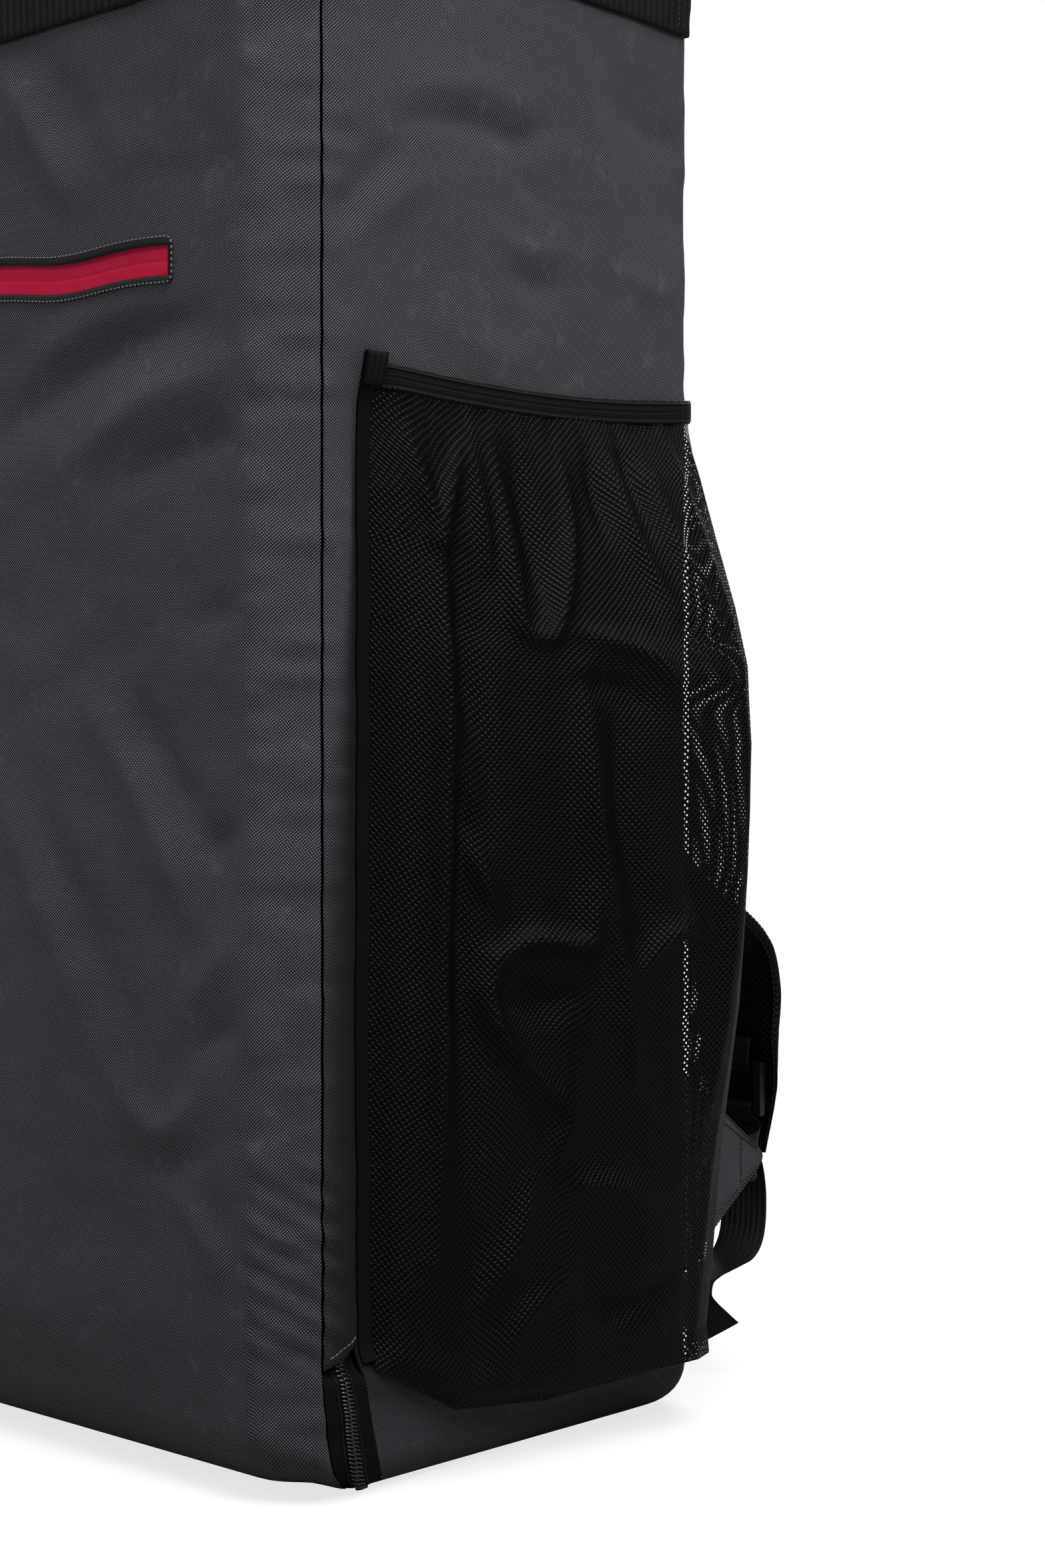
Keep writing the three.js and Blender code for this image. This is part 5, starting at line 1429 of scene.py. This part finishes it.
def corner_zips():
    """The zip below each cover strip: two tapes, the coil's teeth and its bed."""
    hem = FLAP_HEM_SIDE
    heights = np.concatenate([spread(0, CURL_SIDE, 14), spread(CURL_SIDE, hem + 14, 22)[1:]])
    coil_from, coil_to = SEAM_AT + FRONT_TAPE, FLAP_END_AT - SIDE_TAPE
    front_tape = spread(SEAM_AT + 0.3, coil_from, 7)
    side_tape = spread(coil_to, FLAP_END_AT - TAPE_CUT, 7)
    around = np.concatenate([front_tape, spread(0, COIL_WIDTH, 10)[1:] + coil_from, side_tape[1:]])
    coil_middle = coil_from + COIL_WIDTH / 2
    off_middle = (around - coil_middle) / (COIL_WIDTH / 2)
    crown = COIL_CROWN * np.sqrt(np.maximum(1 - off_middle ** 2, 0))[:, None]

    def depth(z):
        return -ZIP_SUNK * smooth((z - FLAP_HEM_FRONT + 8) / 8)

    for word, flip in HANDS:
        level = level_at(around[:, None], heights + 0 * around[:, None])
        points = off_skin(around[:, None], level, depth(heights) + crown)
        if word == "left":
            points = (points * flip)[::-1]
        nodes = [f"main_zip_{part}_{word}" for part in ("front_tape", "coil", "side_tape")]
        cloth_piece(f"zip_end_{word}", points, TAPE_CLOTH, [f"side_cloth_{word}"], *nodes)
        tooth_z = np.arange(TOOTH_FOOT, hem + 8, TOOTH_PITCH)
        starts, stops, outs = [], [], []
        for way in (-1, 1):
            inner = coil_middle - TOOTH_INNER * way + 0 * tooth_z
            outer = coil_middle + TOOTH_OUTER * way + 0 * tooth_z
            for places, kept, shift, rise in ((inner, starts, 0.5, 1.25), (outer, stops, 0.0, 0.9)):
                z = tooth_z + shift * way
                kept.append(off_skin(places, level_at(places, z), depth(z) + rise))
            outs.append(surface_line(inner, tooth_z, 0.0)[1])
        rods = (np.concatenate(part) * flip for part in (starts, stops, outs))
        capsules(*rods, TOOTH_WIDTH, COIL, f"coil_teeth_{word}")
        rows = []
        for place in (coil_middle - TAPE_STITCH_AT, coil_middle + TAPE_STITCH_AT):
            z = spread(TOOTH_FOOT, hem + 6, 50)
            path, out = surface_line(place + 0 * z, z, depth(z) + 0.25)
            rows.append((path * flip, out * flip))
        stitched("tape", rows, DARK_THREAD, word)


def flap_stitches():
    """The hem's stitches over the end of each cover strip."""
    around = spread(SEAM_AT + 3, FLAP_END_AT - 2, 12)
    path, out = surface_line(around, flap_hem(around) + 5.5, 0.2)
    for word, flip in HANDS:
        stitched("flap", [(path * flip, out * flip)], GREY_THREAD, word)


# The net pocket
def pocket_top(across):
    """The height of the elastic's upper edge."""
    return POCKET_TOP + POCKET_TOP_RISE * across - POCKET_TOP_DIP * 4 * across * (1 - across)


def pocket_foot(across):
    """The height of the net's lower edge."""
    drop = np.interp(across, NET_FOOT["across"], NET_FOOT["drop"])
    return POCKET_FRONT_FOOT + (POCKET_FOOT - POCKET_FRONT_FOOT) * drop


def pocket_out(across, up):
    """How far the net stands off the side."""
    lengthwise = np.interp(up, BULGE_UP["up"], BULGE_UP["out"])
    crosswise = np.interp(across, BULGE_ACROSS["across"], BULGE_ACROSS["out"])
    return 2 * SEAT_GAP + NET_CLEAR + POCKET_DEPTH * lengthwise * crosswise


def pocket_base(across, z):
    """The side behind the net, plain above and following the curl below."""
    around = NET_FRONT_AT + across * NET_WIDTH
    share = np.clip((around - SEAM_AT) / SIDE_DEPTH, 0, 1)
    plain = np.stack([HALF_WIDTH + 0 * z, around - SEAM_AT + STRIP_FORWARD - HALF_DEPTH, z], -1)
    curled = skin(around, level_at(around, z))
    low = smooth((60 - z) / 30)[..., None]
    plain[..., 0] += SIDE_SWELL * 4 * share * (1 - share) + valley(around, z)
    return plain * (1 - low) + curled * low


def net_slack(across, up):
    """Folds, gathers and small waves of the net, in millimetres."""
    u, v = across * NET_WIDTH, up * POCKET_TOP
    folds = fold_height("net", across, up)
    gathers = 1.6 * ripple(u, 0.12 * v, 9, 30, SEEDS["gathers"]) * smooth((up - 0.8) / 0.18)
    hold = smooth(9 * across * (1 - across)) * smooth(12 * up * (1 - up) + 0.25 * (up > 0.5))
    loose = 1.5 * folds + waves("net", u, v, SEEDS["net"])
    return loose * hold + gathers * smooth(14 * across * (1 - across))


def net_pocket():
    """The gathered net and the ribbed elastic along its top."""
    across = np.concatenate([[0, 0.004], spread(0.012, 0.985, NET_COLUMNS), [0.992, 1.0]])
    up = np.concatenate([[0, 0.004, 0.01, 0.016], spread(0.022, 1, NET_ROWS)])
    a, u = np.meshgrid(across, up, indexing="ij")
    head = pocket_top(a) - ELASTIC_HEIGHT + 1.5
    z = pocket_foot(a) + u * (head - pocket_foot(a))
    points = pocket_base(a, z)
    clear = np.minimum(NET_CLEAR, pocket_out(a, u))
    points[..., 0] += np.maximum(pocket_out(a, u) + net_slack(a, u), clear)
    rests_on = ["side_cloth_right", "pocket_band"]
    cloth_piece("pocket_net_sheet", points, NET, rests_on, "mesh_pocket", held="gathered")

    across = spread(-0.012, 1.004, BAND_COLUMNS)
    rows = spread(0, 1, 4 * ELASTIC_RIBS)
    a, r = np.meshgrid(across, rows, indexing="ij")
    z = pocket_top(a) - ELASTIC_HEIGHT * (1 - r)
    shape = ELASTIC_THICKNESS * 0.5 + 0.16 * np.cos(2 * np.pi * r * ELASTIC_RIBS)
    shape = shape - 1.1 * (np.abs(2 * r - 1) ** 8)
    wavy = 0.8 * ripple(a * NET_WIDTH, r, 26, 3, SEEDS["elastic"])
    front = pocket_base(a, z)
    inner = front.copy()
    out = pocket_out(np.clip(a, 0, 1), 1.0) + wavy * smooth(12 * a * (1 - a))
    front[..., 0] += out + shape
    inner[..., 0] += out - shape
    ring = np.concatenate([front, inner[:, ::-1]], 1)
    band = tube_piece("pocket_band", ring, STRAP_FINE)
    declare_sheet(front)
    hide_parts("pocket_elastic")
    rows = []
    shares = spread(0, 1, 120)
    for share in (0.13, 0.87):
        edge = front[:, int(share * (front.shape[1] - 1))]
        line = np.stack([np.interp(shares, across, edge[:, axis]) for axis in range(3)], -1)
        rows.append((line + np.array([0.2, 0, 0]), np.tile([1.0, 0, 0], (len(line), 1))))
    stitched("pocket_band", rows, DARK_THREAD)


# Section of the folded tape down the pocket's front edge, and of its end on the elastic
BINDING_SECTION = table(
    "across out",
    (3, 0.3), (1.2, 0.2), (0.1, 0.3), (0, 0.9), (0.4, 1.6), (1.2, 2.1), (2.4, 2.5), (3.8, 2.9),
    (5.2, 3.4), (6.8, 3.9), (8.2, 4.1), (9.3, 3.3), (9.3, 1.6), (7.5, 0.6), (4, 0.3),
)
END_SECTION = table(
    "across up",
    (0.2, 0), (0, -0.1), (0.3, 0.2), (1, 1), (2.5, 3), (5, 6), (7.5, 9),
    (10, 12), (12, 15), (13, 17), (13.6, 17.8), (13.8, 18.1), (13.6, 18),
)


def edge_binding():
    """The folded tape down the pocket's front edge and its end on the elastic."""
    z = spread(POCKET_FRONT_FOOT + 3, POCKET_TOP + 5, BINDING_ROWS)
    wobble = 0.7 * ripple(z, 0 * z, 35, 5, SEEDS["binding"])
    places = (BINDING_SECTION["across"] + POCKET_FRONT_AT)[:, None] + wobble
    out = BINDING_SECTION["out"][:, None] + 0.3 + 0 * places
    points = off_skin(places, level_at(places, z + 0 * places), out)
    rests_on = ["side_cloth_right"]
    cloth_piece("pocket_binding", points, TAPE_CLOTH, rests_on, "pocket_front_binding")

    around = (POCKET_FRONT_AT + END_SECTION["across"])[:, None]
    rise = END_SECTION["up"][None] + POCKET_TOP - 12.5
    row = np.arange(len(around))
    sides = np.minimum(np.minimum(row, row[::-1]), 3) / 3
    out = 1.0 + 3.6 * np.sqrt(sides[:, None] * sides) + 1.2 * (row[:, None] / row[-1]) ** 2
    points = off_skin(around, level_at(around, rise), out)
    cloth_piece("pocket_tab", points, STRAP_FINE, ["pocket_binding", "pocket_band"])


# Webbing, pads and tabs
def along_route(rows, steps):
    """Points, directions and row places along a strap's route."""
    x = rows["across"] * HALF_WIDTH
    y = HALF_DEPTH + rows["off"] * SIDE_DEPTH
    z = rows["up"] * BAG_HEIGHT
    points = rounded_path(np.stack([x, y, z], -1), steps)
    return points, np.gradient(points, axis=0), np.linspace(0, len(x) - 1, steps)


def strap_sections(points, tangents, hints, widths, thicknesses, shape):
    """Sections of a flat strap: shape is a table of across and out, from -1 to 1."""
    tangents = tangents / np.linalg.norm(tangents, axis=-1, keepdims=True)
    across = hints - (hints * tangents).sum(-1, keepdims=True) * tangents
    across /= np.linalg.norm(across, axis=-1, keepdims=True)
    out = np.cross(tangents, across)
    wide = shape["across"][None, :, None] * across[:, None] * widths[:, None, None] / 2
    thick = shape["out"][None, :, None] * out[:, None] * thicknesses[:, None, None] / 2
    return points[:, None] + wide + thick


def flat_shape(sides):
    """A flat section with round edges."""
    angle = np.linspace(0, 2 * np.pi, sides, endpoint=False)
    wide = np.sign(np.cos(angle)) * np.abs(np.cos(angle)) ** 0.5
    thick = np.sign(np.sin(angle)) * np.abs(np.sin(angle)) ** 0.6
    return {"across": wide, "out": thick}


def pad_sections():
    """The right pad's sections, quilted across and sewn along both edges."""
    route = {name: np.concatenate([PAD_ROUTE[name][:-1], PAD_TONGUE[name]]) for name in PAD_ROUTE}
    pad_points, pad_tangents, pad_rows = along_route(route, PAD_STEPS)
    rows = np.arange(len(route["width"]))
    widths = PAD_WIDTH * np.interp(pad_rows, rows, route["width"])
    thick = PAD_THICKNESS * np.interp(pad_rows, rows, route["thick"])
    run = np.concatenate([[0], np.cumsum(np.linalg.norm(np.diff(pad_points, axis=0), axis=-1))])
    quilt = 1 - QUILT_DEPTH * np.exp(-((run % QUILT_STEP - QUILT_STEP / 2) / 3.0) ** 2)
    shape = flat_shape(PAD_SIDES)
    from_channel = (np.abs(shape["across"]) - CHANNEL_AT) / 0.05
    shape["out"] = shape["out"] * (1 - CHANNEL_DEPTH * np.exp(-(from_channel ** 2)))
    hints = np.tile([1.0, 0, 0], (len(pad_points), 1))
    return strap_sections(pad_points, pad_tangents, hints, widths, thick * quilt, shape)


def webbing_route(lock, lock_foot):
    """The right webbing's middle line from the tab round the lock's bar to its free end,
    with the directions across it."""
    loop = LOCK_THICKNESS / 2 + SEAT_GAP + WEBBING_THICKNESS / 2
    bar_top = lock_foot + LOCK_BAR
    behind_tab = np.array([TAB_THICKNESS / 2 + SEAT_GAP + WEBBING_THICKNESS / 2, 0, 0])
    tip = tab_point(TAB_REACH - 4) - behind_tab
    on_tab = tab_point(TAB_REACH - 26) - behind_tab
    entry = lock + (0, -loop - SEAT_GAP, bar_top - 3 * LOCK_BAR)
    middle = tab_point(TAB_REACH - 4) * 0.45 + entry * 0.55
    middle[1] = lock[1] - loop - WEBBING_THICKNESS
    stations = [
        (on_tab, (0, 0, 1)),
        (tip, (0, 0, 1)),
        (middle, (0.55, 0, 0.8)),
        (entry, (1, 0, 0.25)),
    ]
    for turn in np.radians([0, 45, 90, 135, 180]):
        round_bar = (0, -loop * math.cos(turn), bar_top + loop * math.sin(turn))
        stations.append((lock + round_bar, (1, 0, 0)))
    tail, _, tail_rows = along_route(TAIL_ROUTE, TAIL_STEPS)
    rows = np.arange(len(TAIL_ROUTE["turn"]))
    turns = np.radians(np.interp(tail_rows, rows, TAIL_ROUTE["turn"]))
    swing = np.sin(TAIL_SWING * smooth(tail_rows / 2))
    stations += [(point, (math.cos(t), s, math.sin(t))) for point, t, s in zip(tail, turns, swing)]
    centre = fine(np.array([point for point, _ in stations]), 5)
    return centre, fine(np.array([hint for _, hint in stations], float), 5)


def webbing_piece(name, centre, hints, flip, word):
    """A strap of webbing along a line, held by one shoulder's lock."""
    ones = np.ones(len(centre))
    widths, thicknesses = WEBBING_WIDTH * ones, WEBBING_THICKNESS * ones
    ways, shape = np.gradient(centre, axis=0), flat_shape(WEBBING_SIDES)
    web = strap_sections(centre, ways, hints, widths, thicknesses, shape)
    piece = tube_piece(f"{name}_{word}", web * flip, STRAP_FINE)
    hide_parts(f"strap_{name}_{word}")


def pads_and_straps():
    """Both shoulder pads, each with its keeper and its webbing."""
    sections = pad_sections()
    lock_top = PAD_ROUTE["up"][-1] * BAG_HEIGHT - SEAT_GAP
    lock_off = HALF_DEPTH + PAD_ROUTE["off"][-1] * SIDE_DEPTH
    lock = np.array([PAD_ROUTE["across"][-1] * HALF_WIDTH, lock_off, 0])
    centre, hints = webbing_route(lock, lock_top - LOCK_HEIGHT)
    keeper = keeper_route(lock, lock_top)
    keeper_hints = np.tile([1.0, 0, 0], (len(keeper), 1))
    for word, flip in HANDS:
        pad = tube_piece(f"pad_{word}", sections * flip, PAD_NET)
        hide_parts(f"shoulder_pad_{word}")
        for name, held, line, ways in (
            ("webbing", "hung", centre, hints),
            ("keeper", "folded", keeper, keeper_hints),
        ):
            webbing_piece(name, line, ways, flip, word)
        pad_edges(sections, flip, word)


def pad_edges(sections, flip, word):
    """Stitches along both edges of a pad, on both its faces."""
    count = sections.shape[1]
    rows = []
    for corner in (3, count // 2 - 3, count // 2 + 3, count - 3):
        path = sections[2:-2, corner]
        middle = sections[2:-2].mean(1)
        across = sections[2:-2, 0] - sections[2:-2, count // 2]
        out = path - middle
        across = across / np.linalg.norm(across, axis=-1, keepdims=True)
        out = out - (out * across).sum(-1, keepdims=True) * across
        out = out / np.linalg.norm(out, axis=-1, keepdims=True)
        rows.append((path * flip, out * flip))
    stitched("pad", rows, DARK_THREAD, word)


def fine(values, times):
    """A smooth line through values, with a number of steps for each."""
    return rounded_path(values, (len(values) - 1) * times + 1)


def keeper_route(lock, lock_top):
    """The keeper's loop from the pad's front round the lock's upper bar to its back."""
    pad_half = PAD_THICKNESS * PAD_ROUTE["thick"][-2] / 2
    loop = pad_half + SEAT_GAP + WEBBING_THICKNESS / 2
    bar_foot = lock_top - LOCK_BAR
    foot = bar_foot - SEAT_GAP - WEBBING_THICKNESS / 2
    lean = (PAD_ROUTE["off"][-2] - PAD_ROUTE["off"][-1]) * SIDE_DEPTH
    rows = table(
        "y z",
        (-loop + lean, lock_top + KEEPER_REACH),
        (-loop, lock_top),
        (-loop, bar_foot + 2),
        (-loop * 0.6, foot),
        (loop * 0.6, foot),
        (loop, bar_foot + 2),
        (loop, lock_top),
        (loop + lean, lock_top + KEEPER_REACH),
    )
    zero = 0 * rows["y"]
    return fine(np.stack([lock[0] + zero, lock[1] + rows["y"], rows["z"]], -1), 3)


def tab_point(reach, up=0.0, bend=0.0):
    """A point of the right tab at a distance from the back corner and above its tip line."""
    x = HALF_WIDTH - TAB_THICKNESS - reach * math.sin(TAB_TURN) + bend
    y = HALF_DEPTH + SEAT_GAP + BACK_SWELL * 0.1 + reach * math.cos(TAB_TURN)
    return np.array([x, y, TAB_FOOT + TAB_HEIGHT / 2 + up - TAB_TIP_DROP * reach / TAB_REACH])


def tabs():
    """Grey triangles of doubled cloth, with rounded tips and stitched hems."""
    to_tip = np.array([6, 4, 2.4, 1.2, 0.4, 0])
    reach = np.concatenate([spread(0, TAB_REACH - 8, 26), TAB_REACH - to_tip])
    half = TAB_HEIGHT / 2 + (TAB_TIP / 2 - TAB_HEIGHT / 2) * reach / TAB_REACH
    near_tip = np.clip((reach - TAB_REACH + 3) / 3, 0, 1)
    half = half * np.sqrt(np.maximum(1 - near_tip ** 2, 0.02))
    rows = np.concatenate([[-1, -0.995, -0.975], spread(-0.94, 0.94, 26), [0.975, 0.995, 1]])
    height = np.concatenate([[0, 0.6, 0.95], np.ones(27), [0.95, 0.6, 0]])
    loose = 1.1 * ripple(reach[:, None], rows * 60 + 0 * reach[:, None], 45, 50, SEEDS["tab"])
    front = np.array([[tab_point(r, h * row) for row in rows] for r, h in zip(reach, half)])
    normal = np.array([math.cos(TAB_TURN), math.sin(TAB_TURN), 0])
    thick = (TAB_THICKNESS / 2) * height[None, :, None]
    hold = np.sin(np.pi * np.clip(reach / TAB_REACH, 0, 1))[:, None]
    wavy = (loose * hold)[..., None] * normal
    outer, inner = front + thick * normal + wavy, front - thick * normal + wavy
    ring = np.concatenate([outer, inner[:, ::-1]], 1)
    for word, flip in HANDS:
        piece = tube_piece(f"tab_{word}", ring * flip, CLOTH)
        declare_sheet(outer)
        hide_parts(f"anchor_tab_{word}")
        seams = []
        for face, way in ((outer, 1), (inner, -1)):
            for seam in (*(face[1:-5, row] for row in (2, 5, -6, -3)), face[-13, 3:-3]):
                seams.append((seam * flip, np.tile(normal * way * flip, (len(seam), 1))))
        stitched("tab", seams, TAB_THREAD, word)


STRAP_SECTION = table(
    "up out",
    (0, 0.3), (0.01, 1.4), (0.04, 2.0), (0.1, 2.2), (0.2, 2.3), (0.35, 2.3), (0.5, 2.3),
    (0.65, 2.3), (0.8, 2.3), (0.9, 2.2), (0.96, 2.0), (0.99, 1.4), (1, 0.3),
)


def top_strap():
    """The webbing round the bag under its top."""
    end = BACK_CORNER_AT - SEAM_GAP
    around = spread(-end, end, STRAP_COLUMNS)
    out = STRAP_SECTION["out"]
    z = strap_foot(around)[:, None] + STRAP_SECTION["up"] * STRAP_WIDTH
    sway = ripple(around, 0 * around, 120, 5, SEEDS["strap"])[:, None]
    stand = 0.5 + 0.5 * (1 + ripple(around, 0 * around, 45, 5, SEEDS["strap"] + 1))[:, None]
    level = level_at(around[:, None], z + sway)
    points = off_skin(around[:, None] + 0 * z, level, out + stand * (out > 1))
    rests_on = ["front_cloth", *BOTH_SIDES]
    cloth_piece("top_strap", points, STRAP_CLOTH, rests_on, "compression_strap")
    seams = []
    shares = spread(0, 1, 20)
    for way in (-1, 1):
        for inset in (6, 12):
            place = way * (end - inset) + 0 * shares
            height = strap_foot(place) + 3 + shares * (STRAP_WIDTH - 6)
            seams.append(surface_line(place, height, 3.3))
    stitched("top_strap", seams, DARK_THREAD)


def rounded_box(name, size, centre, finish, bevel):
    """A moulded block with round edges."""
    half = np.array(size) / 2
    signs = np.array([[x, y, z] for x in (-1, 1) for y in (-1, 1) for z in (-1, 1)])
    corners = signs * half + centre
    faces = [(0, 1, 3, 2), (4, 6, 7, 5), (0, 4, 5, 1), (2, 3, 7, 6), (0, 2, 6, 4), (1, 5, 7, 3)]
    piece = make_mesh(name, corners, faces, finish)
    turn_outwards(piece)
    shape = bmesh.new()
    shape.from_mesh(piece.data)
    bmesh.ops.bevel(
        shape, geom=list(shape.edges), offset=bevel * MM, segments=4, profile=0.6,
        affect="EDGES", clamp_overlap=True,
    )
    shape.to_mesh(piece.data)
    shape.free()
    piece.data.polygons.foreach_set("use_smooth", [True] * len(piece.data.polygons))
    return piece


def join(name, parts):
    """Several parts as one piece under one name."""
    shape = bmesh.new()
    for part in parts:
        shape.from_mesh(part.data)
    mesh = parts[0].data.copy()
    mesh.name = name
    shape.to_mesh(mesh)
    shape.free()
    piece = bpy.data.objects.new(name, mesh)
    bpy.context.scene.collection.objects.link(piece)
    slot = parts[0]["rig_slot"]
    for part in parts:
        bpy.data.objects.remove(part)
    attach(piece, "root")
    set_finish(piece, slot)
    mesh.polygons.foreach_set("use_smooth", [True] * len(mesh.polygons))
    return piece


def buckle():
    """A plain side-release buckle on the strap round the top."""
    low, high = (np.array(corner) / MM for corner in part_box("strap_buckle"))
    centre, size = (low + high) / 2, high - low
    blocks = table(
        "x z wide tall thick out",
        (-0.20, 0.0, 0.58, 1.00, 0.86, 0.0),
        (-0.20, 0.0, 0.40, 0.52, 1.00, 0.0),
        (0.17, 0.0, 0.30, 0.62, 0.62, 0.0),
        (0.14, 0.36, 0.34, 0.20, 0.60, 0.0),
        (0.14, -0.36, 0.34, 0.20, 0.60, 0.0),
        (0.41, 0.0, 0.16, 0.96, 0.80, 0.0),
        (0.30, 0.0, 0.10, 0.30, 0.50, 0.0),
    )
    parts = []
    for row in range(len(blocks["x"])):
        block = {name: column[row] for name, column in blocks.items()}
        place = centre + np.array([block["x"] * size[0], block["out"], block["z"] * size[2]])
        extent = (block["wide"] * size[0], block["thick"] * size[1], block["tall"] * size[2])
        parts.append(rounded_box(f"buckle_part_{row}", extent, place, PLASTIC, 1.6))
    piece = join("top_strap_buckle", parts)
    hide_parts("strap_buckle")


def slider(name, node, turned):
    """A zip slider: its body, its bridge and a long pull."""
    low, high = (np.array(corner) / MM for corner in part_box(node))
    centre = (low + high) / 2
    height = high[2] - low[2]
    thin, wide = (0, 1) if turned else (1, 0)
    depth = high[thin] - low[thin]
    width = high[wide] - low[wide]

    def block(part, wide_share, thick, tall, up, forward):
        extent, place = np.zeros(3), centre.copy()
        extent[wide], extent[thin], extent[2] = width * wide_share, thick, tall
        place[2] += up
        place[thin] -= forward
        return rounded_box(f"{name}_{part}", extent, place, PLASTIC, 0.6)

    parts = [
        block("body", 0.95, depth * 0.8, height * 0.42, height * 0.27, -0.2),
        block("bridge", 0.34, depth * 0.9, height * 0.3, height * 0.28, 0.2),
        block("pull", 0.55, depth * 0.55, height * 0.62, -height * 0.17, 0.35),
        block("grip", 0.75, depth * 0.6, height * 0.2, -height * 0.38, 0.35),
    ]
    piece = join(name, parts)
    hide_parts(node)


# The pieces
front_cloth()
side_cloths()
back_cloth()
caps()
window_zip()
corner_zips()
flap_stitches()
net_pocket()
edge_binding()
top_strap()
pads_and_straps()
tabs()
buckle()
slider("window_slider", "pocket_zip_slider", False)
slider("corner_slider", "main_zip_slider_left", True)

# CAD pieces that show as they are
for node_name, finish in (
    ("strap_lock_right", PLASTIC),
    ("strap_lock_left", PLASTIC),
    ("main_zip_top_tape", TAPE_CLOTH),
):
    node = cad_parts[node_name]
    node.data.materials.clear()
    node.data.materials.append(finish)
    if finish is PLASTIC:
        bevel = node.modifiers.new("Soft edges", "BEVEL")
        bevel.width = 0.7 * MM
        bevel.segments = 3

# Floor, lights, surroundings and camera
FLOOR_SIZE = 60.0
FLOOR_COVER = 0.25
LIT_HIGH, LIT_LOW = 0.16, 0.02
CEILING_STRENGTH = 3.2
# Name, place, aim, size and power
SOFTBOXES = (
    ("side_light", (2.1, -0.2, 2.35), (0.25, 0, 0.8), 1.0, 44),
    ("front_light", (-0.9, -2.6, 2.3), (0, 0, 0.65), 1.2, 20),
    ("back_light", (-1.3, 2.9, 2.1), (0, 0, 0.55), 1.4, 26),
)
CAMERA_PLACE = Vector((1.2743, -1.0591, 0.400))
CAMERA_AIM = Vector((-0.682, 0.731, -0.01187))
CAMERA_LENS = 59.25


def make_floor():
    """A pale floor that the white room shows through, with soft shadows on it."""
    mesh = bpy.data.meshes.new("floor")
    half = FLOOR_SIZE / 2
    corners = [(-half, -half, 0), (half, -half, 0), (half, half, 0), (-half, half, 0)]
    mesh.from_pydata(corners, [], [(0, 1, 2, 3)])
    paint = bpy.data.materials.new("pale_floor")
    paint.use_nodes = True
    shader = paint.node_tree.nodes["Principled BSDF"]
    shader.inputs["Base Color"].default_value = (0.95, 0.95, 0.955, 1)
    shader.inputs["Roughness"].default_value = 0.9
    shader.inputs["Alpha"].default_value = FLOOR_COVER
    mesh.materials.append(paint)
    floor = bpy.data.objects.new("floor", mesh)
    bpy.context.scene.collection.objects.link(floor)


def softbox(name, place, aim, size, power):
    data = bpy.data.lights.new(name, "AREA")
    data.shape = "RECTANGLE"
    data.size = data.size_y = size
    data.energy = power
    light = bpy.data.objects.new(name, data)
    light.location = place
    light.rotation_euler = (Vector(aim) - Vector(place)).to_track_quat("-Z", "Y").to_euler()
    bpy.context.scene.collection.objects.link(light)


def ceiling_light(strength):
    data = bpy.data.lights.new("ceiling_light", "SUN")
    data.energy = strength
    data.angle = math.radians(50)
    light = bpy.data.objects.new("ceiling_light", data)
    light.rotation_euler = Vector((-0.12, 0.1, -1)).to_track_quat("-Z", "Y").to_euler()
    bpy.context.scene.collection.objects.link(light)


def surroundings(high, low):
    """An even white room: seen as plain white, and dimmer as a light."""
    world = bpy.data.worlds.new("studio")
    bpy.context.scene.world = world
    world.use_nodes = True
    tree = world.node_tree
    tree.nodes.clear()
    path = tree.nodes.new("ShaderNodeLightPath")
    coordinates = tree.nodes.new("ShaderNodeTexCoord")
    height = tree.nodes.new("ShaderNodeSeparateXYZ")
    tree.links.new(coordinates.outputs["Generated"], height.inputs[0])
    fade = tree.nodes.new("ShaderNodeMapRange")
    tree.links.new(height.outputs["Z"], fade.inputs["Value"])
    for label, value in (("From Min", -0.15), ("From Max", 0.3), ("To Min", low), ("To Max", high)):
        fade.inputs[label].default_value = value
    seen, lit = tree.nodes.new("ShaderNodeBackground"), tree.nodes.new("ShaderNodeBackground")
    seen.inputs["Color"].default_value = (1, 1, 1, 1)
    seen.inputs["Strength"].default_value = 1.0
    lit.inputs["Color"].default_value = (0.93, 0.95, 1, 1)
    tree.links.new(fade.outputs["Result"], lit.inputs["Strength"])
    mix = tree.nodes.new("ShaderNodeMixShader")
    out = tree.nodes.new("ShaderNodeOutputWorld")
    tree.links.new(path.outputs["Is Camera Ray"], mix.inputs[0])
    tree.links.new(lit.outputs[0], mix.inputs[1])
    tree.links.new(seen.outputs[0], mix.inputs[2])
    tree.links.new(mix.outputs[0], out.inputs[0])


bpy.context.scene.view_settings.view_transform = "Standard"
make_floor()
surroundings(LIT_HIGH, LIT_LOW)
ceiling_light(CEILING_STRENGTH)
for row in SOFTBOXES:
    softbox(*row)

camera_data = bpy.data.cameras.new("camera")
camera_data.sensor_width = 36.0
camera_data.lens = CAMERA_LENS
camera = bpy.data.objects.new("camera", camera_data)
camera.location = CAMERA_PLACE
camera.rotation_euler = CAMERA_AIM.to_track_quat("-Z", "Y").to_euler()
bpy.context.scene.collection.objects.link(camera)
bpy.context.scene.camera = camera
